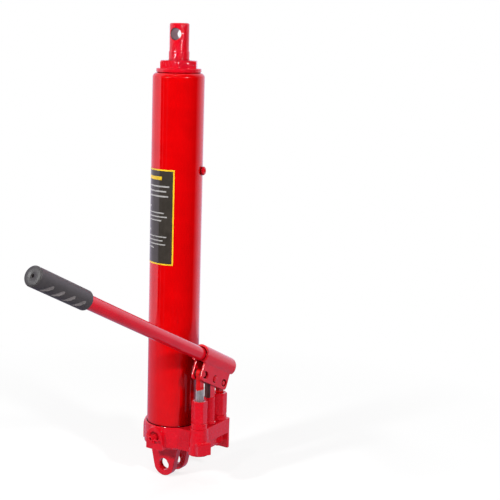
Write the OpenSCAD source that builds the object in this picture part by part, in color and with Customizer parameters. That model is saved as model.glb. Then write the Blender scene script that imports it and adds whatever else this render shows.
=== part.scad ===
// Long-ram hydraulic jack with a clevis base, two hand pumps and a lifting ram.
// The origin is the centre of the base clevis pin hole, +Z runs up the ram,
// +X points from the reservoir to the pumps, and the handle reaches out to -Y.

/* [Ends] */
// Distance between the clevis pin hole and the ram tip hole, ram down
closed_length = 625; // [600:1:660]
// Diameter of the pin hole in the base clevis
clevis_hole_d = 17.5; // [16:0.5:20]
// Thickness of one clevis ear
ear_t = 11; // [10:0.5:12]
// Clear gap between the clevis ears
ear_gap = 19; // [18:0.5:20]
// Diameter of the pin hole across the ram tip
tip_hole_d = 16.5; // [14:0.5:17]
// Diameter of the ram tip
tip_d = 27.8; // [25:0.1:28.4]
// Turn of the ram tip at rest, in degrees
tip_turn = 7.5; // [-45:0.5:45]

/* [Reservoir and cylinder] */
// Outside diameter of the oil reservoir tube
tube_d = 74; // [72:0.5:75]
// Wall of the oil reservoir tube
tube_wall = 3; // [2.5:0.5:3.5]
// Height of the top of the reservoir tube
tube_top = 571.5; // [560:0.5:575]
// Bore of the pressure cylinder
bore_d = 40; // [38:1:42]
// Outside diameter of the pressure cylinder
cylinder_d = 50; // [49:0.5:51]
// Diameter of the ram rod
rod_d = 30; // [28:0.5:31]
// Across flats of the gland nut
gland_af = 51; // [48:0.5:52]
// Outside diameter of the collar under the gland nut
collar_d = 64; // [60:0.5:65]

/* [Base casting] */
// Outside diameter of the ring that holds the reservoir
ring_d = 81.5; // [80:0.5:86]
// Height of the underside of the ring
ring_bottom = 29; // [28:0.5:30]
// Height of the top of the ring
ring_top = 63.5; // [62:0.5:66]
// Height of the top of the pump block
block_top = 71; // [70:0.5:73]

/* [Pumps and handle] */
// Distance of the pump line from the ram axis
pump_x = 64.5; // [64:0.5:68]
// Distance of each pump from the fulcrum post
pump_pitch = 26; // [25:0.5:27]
// Across flats of the pump bodies
pump_af = 20.5; // [19:0.5:22]
// Height of the top of the pump bodies
pump_top = 111; // [109:0.5:112]
// Diameter of the pump plungers
plunger_d = 12; // [11:0.5:13]
// Height of the fulcrum pin
fulcrum_z = 138.1; // [137:0.1:141]
// Tilt of the handle above level, as the jack is stored
handle_tilt = 25.5; // [24:0.5:26]
// Outside diameter of the handle tube
handle_d = 19; // [18:0.5:19.5]
// Distance from the fulcrum to the end of the grip, along the handle
handle_reach = 435; // [400:1:470]
// Length of the grip
grip_len = 108; // [95:1:125]
// Diameter of the grip
grip_d = 26.2; // [24:0.2:30]

/* [Label panel] */
// Height of the lower edge of the bare label panel
label_low = 301; // [280:1:320]
// Height of the label panel
label_h = 136; // [110:1:140]
// Width of the label panel round the tube, in degrees
label_arc = 115; // [90:1:120]

/* [Hidden] */
$fn = 64;
eps = 0.02;
// Length that carries a cut past both sides of a small piece
cut = 20;
tube_r = tube_d / 2;
ring_r = ring_d / 2;
rod_r = rod_d / 2;
bore_r = bore_d / 2;
cylinder_r = cylinder_d / 2;
run = 0.05;

// Heights inside the base casting
tube_seat_z = 57.5;
gasket_t = 1.5;
tube_foot = tube_seat_z + gasket_t;
pocket_z = 50;
washer_t = 1.5;
cylinder_foot = pocket_z + washer_t;
chamber_floor = 42;
chamber_r = 18;
valve_z = 48;
discharge_z = 45.5;
drain_reach = 31;

// Clevis yoke
ear_r = 17;
ear_half_w = 23;
ear_flare_z = 24;
yoke_web = 5;
ear_y = ear_gap / 2;

// Release valve boss, on the -Y side
boss_half_w = 14;
boss_face = 46;
release_seat = 27;
release_bore_r = 5;
release_recess_r = 8;
release_recess_y = 42.5;
release_ball_r = 3;
release_nose_r = 2.5;
release_body_y = 34;
release_seal_in = release_bore_r - 1.5;
seal_y = 38.1;
seal_w = 1.8;
release_head_r = 4;
release_head_y = 55;
cross_pin_y = 51;
cross_pin_r = 1.5;
cross_pin_half = 11;
cross_pin_rise = 13;

// Overload valve pad, on the -X side
pad_face = 44;
pad_half_w = 12;
safety_seat = 26;
safety_ball_r = 2.4;
safety_bore_r = 4;
safety_port_r = 1.5;
safety_plug_in = 36;

// Passages under the pumps
port_r = 1.8;
port_z = 46.5;
riser_x = pump_x - 4;
riser_r = 2.3;
valve_x = 14;
well_r = 8.55;
well_floor = 52.2;
suction_seat_z = 52.5;
suction_ball_r = 3.2;
suction_bore_r = 3.6;
valve_radius = norm([valve_x, pump_pitch]);
valve_angle = atan2(pump_pitch, valve_x);
discharge_seat = 25;
discharge_ball_r = 2.7;
discharge_bore_r = 3.1;
plug_top = 39.5;

// Pump block
wall_x = pump_x + 12;
block_back = 41;
neck_x = 20;
neck_front = -28;
foot_front = 33.5;
neck_back = foot_front + 1;
foot_bottom = 26;
undercut_top = 49.5;
undercut_x = 66;
undercut_front = -11;
boss_top_r = 13;
boss_low_r = 15;
boss_drop = 1.8;
lug_turn = -28;
lug_reach = 18.8;
lug_w = 21;
lug_low = 34.6;
lug_h = 17.2;

// Pump bodies and posts
hex_bottom = 78.7;
pump_collar_r = 11.6;
spigot_bottom = 54.3;
pump_chamfer = 1.5;
seal_groove_z = 98;
plunger_r = plunger_d / 2;
pump_seal_r = plunger_r + 2.4;
plunger_pin_r = 4;
tang_t = 7;
tang_below = 20;
eye_r = 6.8;
eye_t = 6.6;
plunger_below = 71.5;
pin_rise = pump_pitch * tan(handle_tilt);
post_r = 8;
post_stud_r = post_r - 1.5;
post_hole_floor = 56;
post_foot_r = post_r + 2;
post_foot_h = 4;
post_flat = 5;
post_flat_z = 111;
fulcrum_pin_r = 5;

// Handle socket, in its own frame: x across, y to the rear, z up from the pins
sheet = 3.5;
plate_out = 9;
plate_in = plate_out - sheet;
roll_z = 26;
roll_r = 14;
roll_front = -43;
roll_back = 41;
plate_front = -37.5;
plate_back = 37;
plate_low = -9.5;
relief_z = 16;
plate_corner = 6;
slot_centre = 27.4;
slot_half = 1.6;
slot_r = 5;
handle_r = handle_d / 2;
handle_wall = 2;
handle_inner_end = 36;
grip_r = grip_d / 2;
grip_end_wall = 5;
grip_chamfer = 3;
grip_edge = 1.5;
vent_r = 2;
groove_count = 4;
groove_pitch = 21.5;
groove_r = 3.6;
groove_depth = 2;
groove_lean = 40;
// Turn of the grooves round the grip, from straight below
groove_turn = 45;

// Pin ends and split pins, measured across from the middle of the socket
fulcrum_pin_out = 10.8;
plunger_pin_out = 7.6;
pin_in = 14;
cotter_x = 11.6;
cotter_r = 0.9;

// Top of the jack
collar_t = 6;
o_ring_out = 29.3;
o_ring_in = 26.2;
o_ring_h = 1.9;
collar_top = tube_top + collar_t;
gland_h = 11;
gland_top = collar_top + gland_h;
shoulder_r = 7;
flange_hole_r = cylinder_r + 0.3;
cylinder_top = tube_top - 0.5;
gland_spigot_r = 22.5;
gland_spigot_low = 552;
counterbore_low = 551;
bush_r = 18.5;
bush_low = 554;
bush_top = 568;
rod_seal_top = 574;
wiper_low = gland_top - 5;
wiper_r = 18;

// Ram and piston
piston_low = 56;
piston_top = 68;
wear_ring_in = bore_r - 2.4;
wear_ring_low = piston_low + 3.6;
wear_ring_h = 4.8;
stub_r = 8;
stub_low = 44.5;
piston_nut_af = 24;
nut_top = 50.5;
nut_low = 44;
rod_top = gland_top + 1;
tip_collar_top = 601.5;
tip_top = closed_length + 15.3;
tip_r = tip_d / 2;
tip_thread_r = 9;
tip_thread_top = 610;
tip_chamfer = 1.5;

// Filler plug and label, on the reservoir tube
filler_z = 434;
filler_turn = 17;
filler_hole_r = 4;
filler_head_r = 6.3;
filler_head_t = 4;
filler_key_r = 2.9;
label_t = 0.25;
label_right_edge = -58.5;

paint_red = "#d8101c";
steel = "#b9bcc0";
dark_steel = "#6d7075";
brass_yellow = "#c9a24a";
rubber_black = "#202124";
grip_grey = "#3f4248";

// Tube between two heights
module ring(outer, inner, low, high) {
    translate([0, 0, low])
        difference() {
            cylinder(r = outer, h = high - low);
            translate([0, 0, -1]) cylinder(r = inner, h = high - low + 2);
        }
}

// Disc or rod between two heights
module rod(r, low, high) {
    translate([0, 0, low]) cylinder(r = r, h = high - low);
}

// Rod along a level line from the ram axis, between two distances, at a height
module level_rod(r, from, to, height, turn) {
    rotate([0, 0, turn])
        translate([from, 0, height])
            rotate([0, 90, 0]) cylinder(r = r, h = to - from);
}

// Places a child at each pump
module each_pump() {
    for (side = [-1, 1])
        translate([pump_x, side * pump_pitch, 0]) children();
}

// Places a child at each suction valve bore
module each_valve() {
    for (side = [-1, 1])
        translate([valve_x, side * pump_pitch, 0]) children();
}

// Places a child in the handle socket's tilted frame
module in_socket_frame() {
    translate([pump_x, 0, fulcrum_z])
        rotate([-handle_tilt, 0, 0]) children();
}

// Rod across the socket, along X
module cross_rod(r, from, to) {
    translate([from, 0, 0]) rotate([0, 90, 0]) cylinder(r = r, h = to - from);
}

// Hexagonal prism with its flats square to X or Y
module hex_prism(af, low, high, turn) {
    translate([0, 0, low])
        rotate([0, 0, turn]) cylinder(r = af / sqrt(3), h = high - low, $fn = 6);
}

// Ring, bosses, pump block and drilled passages of the base
module base_casting() {
    color(paint_red)
        difference() {
            union() {
                base_ring();
                release_boss();
                safety_pad();
                pump_block();
            }
            base_hollows();
            release_passages();
            safety_passages();
            pump_passages();
        }
}

module base_ring() {
    edge = 4;
    rotate_extrude()
        polygon([
            [0, ring_bottom],
            [ring_r - edge, ring_bottom],
            [ring_r, ring_bottom + edge],
            [ring_r, ring_top],
            [0, ring_top]
        ]);
}

module release_boss() {
    arch_z = ring_top - boss_half_w - 0.6;
    foot_z = ring_bottom + 0.5;
    translate([0, -boss_face, arch_z])
        rotate([-90, 0, 0]) cylinder(r = boss_half_w, h = boss_face);
    translate([-boss_half_w, -boss_face, foot_z])
        cube([2 * boss_half_w, boss_face, arch_z - foot_z]);
}

module safety_pad() {
    arch_z = ring_top - pad_half_w - 1;
    foot_z = ring_bottom + 0.5;
    translate([-pad_face, 0, arch_z])
        rotate([0, 90, 0]) cylinder(r = pad_half_w, h = pad_face);
    translate([-pad_face, -pad_half_w, foot_z])
        cube([pad_face, 2 * pad_half_w, arch_z - foot_z]);
}

module pump_block() {
    block_left = pump_x - 12;
    block_low = ring_bottom + 5;
    block_w = wall_x - block_left;
    neck_low = ring_bottom + 2.5;
    back_corner = 5;
    difference() {
        union() {
            translate([neck_x, neck_front, neck_low])
                cube([pump_x - neck_x, neck_back - neck_front, ring_top - neck_low]);
            translate([block_left, -pump_pitch, block_low])
                cube([block_w, pump_pitch + block_back - back_corner, block_top - block_low]);
            translate([block_left + back_corner, foot_front, foot_bottom])
                cube([block_w - 2 * back_corner, block_back - foot_front, block_top - foot_bottom]);
            for (x = [block_left + back_corner, wall_x - back_corner])
                translate([x, block_back - back_corner, foot_bottom])
                    cylinder(r = back_corner, h = block_top - foot_bottom);
            translate([pump_x, -pump_pitch, block_low - boss_drop])
                cylinder(r1 = boss_low_r, r2 = boss_top_r, h = block_top - block_low + boss_drop);
            pump_lug();
        }
        translate([undercut_x, undercut_front, foot_bottom - 5])
            cube([cut, foot_front - undercut_front, undercut_top - foot_bottom + 5]);
    }
}

module pump_lug() {
    translate([pump_x, -pump_pitch, lug_low])
        rotate([0, 0, lug_turn])
            translate([0, -lug_w / 2, 0]) cube([lug_reach, lug_w, lug_h]);
}

module base_hollows() {
    rod(tube_r + eps, tube_seat_z, ring_top + cut);
    rod(cylinder_r + eps, pocket_z, tube_seat_z + 1);
    rod(chamber_r, chamber_floor, pocket_z + 1);
    each_pump() rod(well_r, well_floor, block_top + 1);
    translate([pump_x, 0, 0]) rod(post_stud_r + eps, post_hole_floor, block_top + 1);
}

module release_passages() {
    level_rod(port_r, chamber_r - 1, release_seat + 1, valve_z, -90);
    level_rod(release_bore_r, release_seat, boss_face + 1, valve_z, -90);
    level_rod(release_recess_r, release_recess_y, boss_face + 1, valve_z, -90);
    translate([0, -drain_reach, 0]) rod(port_r, valve_z, tube_seat_z + 1);
}

module safety_passages() {
    level_rod(safety_port_r, chamber_r - 1, safety_seat + 1, valve_z, 180);
    level_rod(safety_bore_r, safety_seat, pad_face + 1, valve_z, 180);
    translate([-drain_reach, 0, 0]) rod(port_r, valve_z, tube_seat_z + 1);
}

module pump_passages() {
    each_valve() {
        rod(suction_bore_r, ring_bottom - 1, suction_seat_z);
        rod(port_r, suction_seat_z - 1, tube_seat_z + 1);
    }
    for (side = [-1, 1]) {
        translate([valve_x, side * pump_pitch, port_z])
            rotate([0, 90, 0]) cylinder(r = port_r, h = riser_x - valve_x);
        translate([riser_x, side * pump_pitch, port_z - riser_r])
            cylinder(r = riser_r, h = well_floor + 1 - port_z + riser_r);
        level_rod(port_r, discharge_seat - 1, valve_radius, discharge_z, side * valve_angle);
        level_rod(discharge_bore_r, chamber_r - 1, discharge_seat, discharge_z, side * valve_angle);
    }
}

// U-shaped fork welded under the base, with the pin hole
module clevis_yoke() {
    width = ear_gap + 2 * ear_t;
    color(paint_red)
        difference() {
            translate([0, width / 2, 0])
                rotate([90, 0, 0]) linear_extrude(width) ear_outline();
            translate([-2 * ear_half_w, -ear_y, -2 * ear_r])
                cube([4 * ear_half_w, ear_gap, 2 * ear_r + ring_bottom - yoke_web]);
            translate([0, width, 0])
                rotate([90, 0, 0]) cylinder(d = clevis_hole_d, h = 2 * width);
        }
}

// Outline of an ear: a round end, straight flared sides and a square top
module ear_outline() {
    lean = asin((ear_half_w - ear_r) / ear_flare_z);
    circle(r = ear_r);
    polygon([
        [-ear_r * cos(lean), -ear_r * sin(lean)],
        [ear_r * cos(lean), -ear_r * sin(lean)],
        [ear_half_w, ear_flare_z],
        [ear_half_w, ring_bottom],
        [-ear_half_w, ring_bottom],
        [-ear_half_w, ear_flare_z]
    ]);
}

module base_gasket() {
    color(rubber_black) ring(tube_r - eps, tube_r - tube_wall - 0.4, tube_seat_z, tube_foot);
}

// Oil reservoir with its rolled-in shoulder and filler hole
module reservoir_tube() {
    inner_r = tube_r - tube_wall;
    bend_z = tube_top - shoulder_r;
    inner_bend = shoulder_r - tube_wall;
    color(paint_red)
        difference() {
            rotate_extrude()
                difference() {
                    union() {
                        translate([0, tube_foot]) square([tube_r, bend_z - tube_foot]);
                        translate([0, bend_z - 1]) square([tube_r - shoulder_r, shoulder_r + 1]);
                        translate([tube_r - shoulder_r, bend_z]) circle(r = shoulder_r);
                    }
                    translate([0, tube_foot - 1]) square([inner_r, bend_z - tube_foot + 1]);
                    translate([0, bend_z - 1]) square([tube_r - shoulder_r, inner_bend + 1]);
                    translate([tube_r - shoulder_r, bend_z]) circle(r = inner_bend);
                    translate([0, bend_z]) square([flange_hole_r, 2 * shoulder_r]);
                }
            level_rod(filler_hole_r, inner_r - 2, tube_r + 2, filler_z, filler_turn);
        }
}

module pressure_cylinder() {
    color(steel)
        difference() {
            ring(cylinder_r, bore_r, cylinder_foot, cylinder_top);
            rod(gland_spigot_r + eps, counterbore_low, cylinder_top + 1);
        }
}

module cylinder_seal_washer() {
    color("#b06a3c") ring(cylinder_r - 0.2, bore_r, pocket_z, cylinder_foot);
}

module top_collar() {
    edge = 1.5;
    color(paint_red)
        difference() {
            union() {
                rod(collar_d / 2, tube_top, collar_top - edge);
                translate([0, 0, collar_top - edge])
                    cylinder(r1 = collar_d / 2, r2 = collar_d / 2 - edge, h = edge);
            }
            rod(gland_spigot_r + 0.2, tube_top - 1, collar_top + 1);
            ring(o_ring_out + 0.2, o_ring_in - 0.2, tube_top - 1, tube_top + o_ring_h + 0.1);
        }
}

module collar_o_ring() {
    color(rubber_black) ring(o_ring_out, o_ring_in, tube_top, tube_top + o_ring_h);
}

// Hexagon head and threaded spigot that close the cylinder round the rod
module gland_nut() {
    across_corners = gland_af / sqrt(3);
    crown = 2;
    color(paint_red)
        difference() {
            union() {
                intersection() {
                    hex_prism(gland_af, collar_top, gland_top, 0);
                    union() {
                        rod(across_corners, collar_top, gland_top - crown);
                        translate([0, 0, gland_top - crown])
                            cylinder(r1 = across_corners, r2 = across_corners - 1.6 * crown, h = crown);
                    }
                }
                rod(gland_spigot_r, gland_spigot_low, collar_top + 1);
            }
            rod(rod_r + 0.3, gland_spigot_low - 1, gland_top + 1);
            rod(bush_r + eps, bush_low, rod_seal_top);
            rod(wiper_r + eps, wiper_low, gland_top + 1);
        }
}

module ram_guide_bush() {
    color(brass_yellow) ring(bush_r, rod_r + run, bush_low, bush_top);
}

module rod_seal() {
    color(rubber_black) ring(bush_r - 0.1, rod_r + 0.08, bush_top + 0.2, rod_seal_top - 0.2);
}

module rod_wiper() {
    color(rubber_black) ring(wiper_r, rod_r + 0.1, wiper_low, gland_top);
}

// Places a child on the tube wall at the filler hole, +X pointing outwards
module at_filler() {
    rotate([0, 0, filler_turn]) translate([tube_r, 0, filler_z]) children();
}

module filler_plug() {
    crown = 1.6;
    color(paint_red)
        at_filler()
            difference() {
                union() {
                    cross_rod(filler_head_r, 1, 1 + filler_head_t - crown);
                    translate([1 + filler_head_t - crown, 0, 0])
                        rotate([0, 90, 0])
                            cylinder(r1 = filler_head_r, r2 = filler_head_r - crown, h = crown);
                    cross_rod(filler_hole_r - eps, -5, 2);
                }
                translate([filler_head_t - 0.8, 0, 0])
                    rotate([0, 90, 0]) cylinder(r = filler_key_r, h = filler_head_t, $fn = 6);
            }
}

module filler_plug_washer() {
    color(rubber_black)
        at_filler()
            difference() {
                cross_rod(filler_head_r - 0.5, 0.4, 1);
                cross_rod(filler_hole_r + 0.1, -1, 3);
            }
}

// Hexagon pump body with its round foot, spigot and plunger bore
module pump_body() {
    corner_r = pump_af / sqrt(3);
    foot_chamfer = 4;
    hex_low = hex_bottom - 0.5;
    difference() {
        union() {
            intersection() {
                hex_prism(pump_af, hex_low, pump_top, 30);
                union() {
                    translate([0, 0, hex_low])
                        cylinder(r1 = pump_af / 2, r2 = corner_r + 1, h = foot_chamfer);
                    rod(corner_r + 1, hex_low + foot_chamfer, pump_top - pump_chamfer);
                    translate([0, 0, pump_top - pump_chamfer])
                        cylinder(r1 = corner_r, r2 = corner_r - 2, h = pump_chamfer);
                }
            }
            rod(pump_collar_r, block_top + 1, hex_bottom);
            rod(well_r - eps, spigot_bottom, block_top + 2);
        }
        rod(plunger_r + run, spigot_bottom - 1, pump_top + 1);
        rod(pump_seal_r + 0.1, seal_groove_z, seal_groove_z + 5);
    }
}

module front_pump_body() {
    color(paint_red) translate([pump_x, -pump_pitch, 0]) pump_body();
}

module rear_pump_body() {
    color(paint_red) translate([pump_x, pump_pitch, 0]) pump_body();
}

module pump_body_washers() {
    color("#b06a3c") each_pump() ring(pump_collar_r - 0.4, well_r + 0.1, block_top, block_top + 1);
}

module pump_rod_seals() {
    color(rubber_black)
        each_pump() ring(pump_seal_r, plunger_r + 0.08, seal_groove_z + 0.1, seal_groove_z + 4.9);
}

// Post between the pumps that carries the fulcrum pin
module fulcrum_post() {
    color(paint_red)
        difference() {
            union() {
                translate([pump_x, 0, 0]) {
                    rod(post_stud_r, post_hole_floor + 0.2, block_top + 1);
                    rod(post_r, block_top, post_flat_z);
                    rod(post_foot_r, block_top, block_top + post_foot_h);
                    intersection() {
                        rod(post_r, post_flat_z - 1, fulcrum_z);
                        translate([-post_flat, -post_r, 0])
                            cube([2 * post_flat, 2 * post_r, 2 * fulcrum_z]);
                    }
                }
                translate([pump_x, 0, fulcrum_z])
                    intersection() {
                        cross_rod(post_r, -post_flat, post_flat);
                        rod(post_r, -1, post_r + 1);
                    }
            }
            translate([pump_x, 0, fulcrum_z]) cross_rod(fulcrum_pin_r + eps, -cut, cut);
        }
}

// Pin across the socket with chamfered ends, reaching out to the +X side
module socket_pin(r, out) {
    chamfer = 0.8;
    difference() {
        union() {
            cross_rod(r, -pin_in + chamfer, out - chamfer);
            translate([out - chamfer, 0, 0])
                rotate([0, 90, 0]) cylinder(r1 = r, r2 = r - chamfer, h = chamfer);
            translate([-pin_in, 0, 0])
                rotate([0, 90, 0]) cylinder(r1 = r - chamfer, r2 = r, h = chamfer);
        }
        translate([-cotter_x, 0, 0]) rod(cotter_r + run, -cut, cut);
    }
}

// Split pin through the inner end of a socket pin, with its eye on top
module split_pin(r) {
    loop_r = 2.2;
    leg = 3.5;
    loop_low = r + cotter_r + 0.2;
    translate([-cotter_x, 0, 0]) {
        rod(cotter_r, -r - leg, loop_low);
        translate([0, 0, loop_low + loop_r])
            rotate([0, 90, 0])
                rotate_extrude() translate([loop_r, 0]) circle(r = cotter_r, $fn = 24);
    }
}

module fulcrum_pin() {
    color(paint_red) translate([pump_x, 0, fulcrum_z]) socket_pin(fulcrum_pin_r, fulcrum_pin_out);
}

module fulcrum_pin_cotter() {
    color(steel) translate([pump_x, 0, fulcrum_z]) split_pin(fulcrum_pin_r);
}

// Ball that closes a suction valve from below
module suction_ball() {
    drop = sqrt(pow(suction_ball_r, 2) - pow(port_r, 2)) + eps;
    translate([0, 0, suction_seat_z - drop]) sphere(r = suction_ball_r);
}

// Envelope of the small coil spring under a suction ball
module suction_spring() {
    ring(suction_bore_r - 0.3, 2.4, plug_top, suction_seat_z - 4.95);
}

module front_suction_ball() {
    color(steel) translate([valve_x, -pump_pitch, 0]) suction_ball();
}

module rear_suction_ball() {
    color(steel) translate([valve_x, pump_pitch, 0]) suction_ball();
}

module front_suction_spring() {
    color(dark_steel) translate([valve_x, -pump_pitch, 0]) suction_spring();
}

module rear_suction_spring() {
    color(dark_steel) translate([valve_x, pump_pitch, 0]) suction_spring();
}

module suction_plugs() {
    color(dark_steel)
        each_valve()
            difference() {
                rod(suction_bore_r - eps, ring_bottom + 0.5, plug_top);
                hex_prism(4, ring_bottom, ring_bottom + 3.5, 0);
            }
}

// Ball that closes a discharge valve from the cylinder side
module discharge_ball(side) {
    back = sqrt(pow(discharge_ball_r, 2) - pow(port_r, 2)) + eps;
    rotate([0, 0, side * valve_angle])
        translate([discharge_seat - back, 0, discharge_z]) sphere(r = discharge_ball_r);
}

module front_discharge_ball() {
    color(steel) discharge_ball(-1);
}

module rear_discharge_ball() {
    color(steel) discharge_ball(1);
}

// Pressed rings that keep the discharge balls in their bores
module discharge_ball_stops() {
    near = chamber_r + 0.2;
    far = discharge_seat - 4.6;
    color(dark_steel)
        for (side = [-1, 1])
            difference() {
                level_rod(discharge_bore_r - eps, near, far, discharge_z, side * valve_angle);
                level_rod(discharge_bore_r - 0.9, near - 1, far + 1, discharge_z, side * valve_angle);
            }
}

module safety_ball() {
    back = sqrt(pow(safety_ball_r, 2) - pow(safety_port_r, 2)) + eps;
    color(steel) translate([-safety_seat - back, 0, valve_z]) sphere(r = safety_ball_r);
}

module safety_spring() {
    color(dark_steel)
        difference() {
            level_rod(safety_bore_r - 0.4, safety_seat + 3.7, safety_plug_in, valve_z, 180);
            level_rod(safety_bore_r / 2, safety_seat, pad_face, valve_z, 180);
        }
}

module safety_plug() {
    slit = 1.4;
    color(dark_steel)
        difference() {
            level_rod(safety_bore_r - eps, safety_plug_in + 0.1, pad_face - 1, valve_z, 180);
            translate([-pad_face - cut + 2.5, -cut / 2, valve_z - slit / 2]) cube([cut, cut, slit]);
        }
}

module release_ball() {
    back = sqrt(pow(release_ball_r, 2) - pow(port_r, 2)) + eps;
    color(steel) translate([0, -release_seat - back, valve_z]) sphere(r = release_ball_r);
}

// Thin bare panel wrapped on the tube where a label sits
module label_panel() {
    color("#1b1b1d")
        rotate([0, 0, label_right_edge - label_arc])
            rotate_extrude(angle = label_arc)
                translate([tube_r, label_low]) square([label_t, label_h]);
}

module ram_piston() {
    color(steel)
        difference() {
            rod(bore_r - 0.08, piston_low, piston_top);
            rod(stub_r + run, piston_low - 1, piston_top + 1);
            ring(bore_r + 1, wear_ring_in - 0.1, wear_ring_low - 0.1, wear_ring_low + wear_ring_h + 0.1);
        }
}

module piston_cup_seal() {
    color(rubber_black) ring(bore_r - 0.08, stub_r + 0.3, nut_top + 0.2, piston_low - 0.2);
}

module piston_wear_ring() {
    color(brass_yellow) ring(bore_r - 0.04, wear_ring_in, wear_ring_low, wear_ring_low + wear_ring_h);
}

module ram_rod() {
    color(steel)
        union() {
            rod(rod_r, piston_top + 0.3, rod_top);
            rod(stub_r, stub_low, piston_top + 1);
            rod(tip_thread_r, rod_top - 1, tip_thread_top);
        }
}

// Ram end with its cross hole
module ram_tip() {
    collar_r = rod_r - 0.3;
    step = 0.8;
    color(paint_red)
        difference() {
            union() {
                rod(collar_r, rod_top, tip_collar_top - step);
                translate([0, 0, tip_collar_top - step])
                    cylinder(r1 = collar_r, r2 = tip_r, h = step);
                rod(tip_r, tip_collar_top - 1, tip_top - tip_chamfer);
                translate([0, 0, tip_top - tip_chamfer])
                    cylinder(r1 = tip_r, r2 = tip_r - tip_chamfer, h = tip_chamfer);
            }
            rod(tip_thread_r + eps, rod_top - 1, tip_thread_top + 0.5);
            translate([0, 0, closed_length])
                rotate([90, 0, tip_turn])
                    cylinder(d = tip_hole_d, h = 2 * tip_d, center = true);
        }
}

module piston_nut() {
    color(dark_steel)
        difference() {
            hex_prism(piston_nut_af, nut_low, nut_top, 0);
            rod(stub_r + eps, nut_low - 1, nut_top + 1);
        }
}

// Rolled sheet socket: a split tube round the handle on two cheek plates
module handle_socket() {
    color(paint_red)
        in_socket_frame()
            difference() {
                translate([0, roll_back, 0])
                    rotate([90, 0, 0]) linear_extrude(roll_back - roll_front) socket_section();
                cheek_end(roll_front - 1, plate_front);
                cheek_end(plate_back, roll_back + 1);
                cheek_corner(plate_front, 1);
                cheek_corner(plate_back, -1);
                cross_rod(fulcrum_pin_r + run, -cut, cut);
                for (side = [-1, 1]) pin_slot(side * slot_centre);
            }
}

module socket_section() {
    cheek_h = roll_z - plate_low;
    difference() {
        union() {
            translate([0, roll_z]) circle(r = roll_r);
            translate([-plate_out, plate_low]) square([2 * plate_out, cheek_h]);
        }
        translate([0, roll_z]) circle(r = roll_r - sheet);
        translate([-plate_in, plate_low - 1]) square([2 * plate_in, cheek_h + 1]);
    }
}

// Removes the cheek plates past their ends, below the roll
module cheek_end(from, to) {
    translate([-cut, from, plate_low - 5]) cube([2 * cut, to - from, relief_z - plate_low + 5]);
}

// Rounds a lower corner of the cheek plates
module cheek_corner(edge, inward) {
    corner_y = edge + inward * plate_corner;
    corner_z = plate_low + plate_corner;
    difference() {
        translate([-cut, min(edge, corner_y) - (inward > 0 ? 1 : 0), plate_low - 1])
            cube([2 * cut, plate_corner + 1, plate_corner + 1]);
        translate([0, corner_y, corner_z]) cross_rod(plate_corner, -cut - 1, cut + 1);
    }
}

// Slot in both cheeks that lets a plunger pin slide along the socket
module pin_slot(centre) {
    for (end = [-slot_half, slot_half])
        translate([0, centre + end, 0]) cross_rod(slot_r, -cut, cut);
    translate([-cut, centre - slot_half, -slot_r]) cube([2 * cut, 2 * slot_half, 2 * slot_r]);
}

// Plunger with its flat upper end and eye, about its pin
module plunger() {
    difference() {
        union() {
            difference() {
                rod(plunger_r, -plunger_below, 1);
                for (side = [-1, 1])
                    translate([side * (tang_t / 2 + plunger_r) - plunger_r, -2 * plunger_r, -tang_below])
                        cube([2 * plunger_r, 4 * plunger_r, 2 * tang_below]);
            }
            cross_rod(eye_r, -eye_t / 2, eye_t / 2);
        }
        cross_rod(plunger_pin_r + eps, -cut, cut);
    }
}

// Places a child at the front or rear plunger's pin
module at_plunger_pin(side) {
    translate([pump_x, side * pump_pitch, fulcrum_z - side * pin_rise]) children();
}

module front_plunger() {
    color(steel) at_plunger_pin(-1) plunger();
}

module front_plunger_pin() {
    color(steel) at_plunger_pin(-1) socket_pin(plunger_pin_r, plunger_pin_out);
}

module front_pin_cotter() {
    color(steel) at_plunger_pin(-1) split_pin(plunger_pin_r);
}

module rear_plunger() {
    color(steel) at_plunger_pin(1) plunger();
}

module rear_plunger_pin() {
    color(steel) at_plunger_pin(1) socket_pin(plunger_pin_r, plunger_pin_out);
}

module rear_pin_cotter() {
    color(steel) at_plunger_pin(1) split_pin(plunger_pin_r);
}

// Rod along the handle, from one distance towards the grip to another
module handle_rod(r, from, to) {
    translate([0, -from, roll_z]) rotate([90, 0, 0]) cylinder(r = r, h = to - from);
}

module handle_tube() {
    color(paint_red)
        in_socket_frame()
            difference() {
                handle_rod(handle_r, -handle_inner_end, handle_reach - grip_end_wall);
                handle_rod(handle_r - handle_wall, -handle_inner_end - 1, handle_reach);
            }
}

// Grip sleeve with a closed end, a chamfered mouth and finger grooves low on both sides
module handle_grip() {
    mouth = handle_reach - grip_len;
    color(grip_grey)
        in_socket_frame()
            difference() {
                union() {
                    handle_rod(grip_r, mouth + grip_chamfer, handle_reach - grip_edge);
                    translate([0, -mouth, roll_z])
                        rotate([90, 0, 0])
                            cylinder(r1 = grip_r - grip_chamfer + 0.5, r2 = grip_r, h = grip_chamfer);
                    translate([0, grip_edge - handle_reach, roll_z])
                        rotate([90, 0, 0])
                            cylinder(r1 = grip_r, r2 = grip_r - grip_edge, h = grip_edge);
                }
                handle_rod(handle_r + eps, mouth - 1, handle_reach - grip_end_wall);
                handle_rod(vent_r, mouth, handle_reach + 1);
                for (i = [1 : groove_count], side = [-1, 1])
                    finger_groove(handle_reach - i * groove_pitch, side);
            }
}

// Leaning groove cut low in one side of the grip
module finger_groove(along, side) {
    translate([0, -along, roll_z])
        rotate([0, -side * groove_turn, 0])
            translate([0, 0, groove_depth - grip_r - groove_r])
                rotate([0, 90, side * groove_lean])
                    cylinder(r = groove_r, h = 2 * cut, center = true);
}

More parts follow.
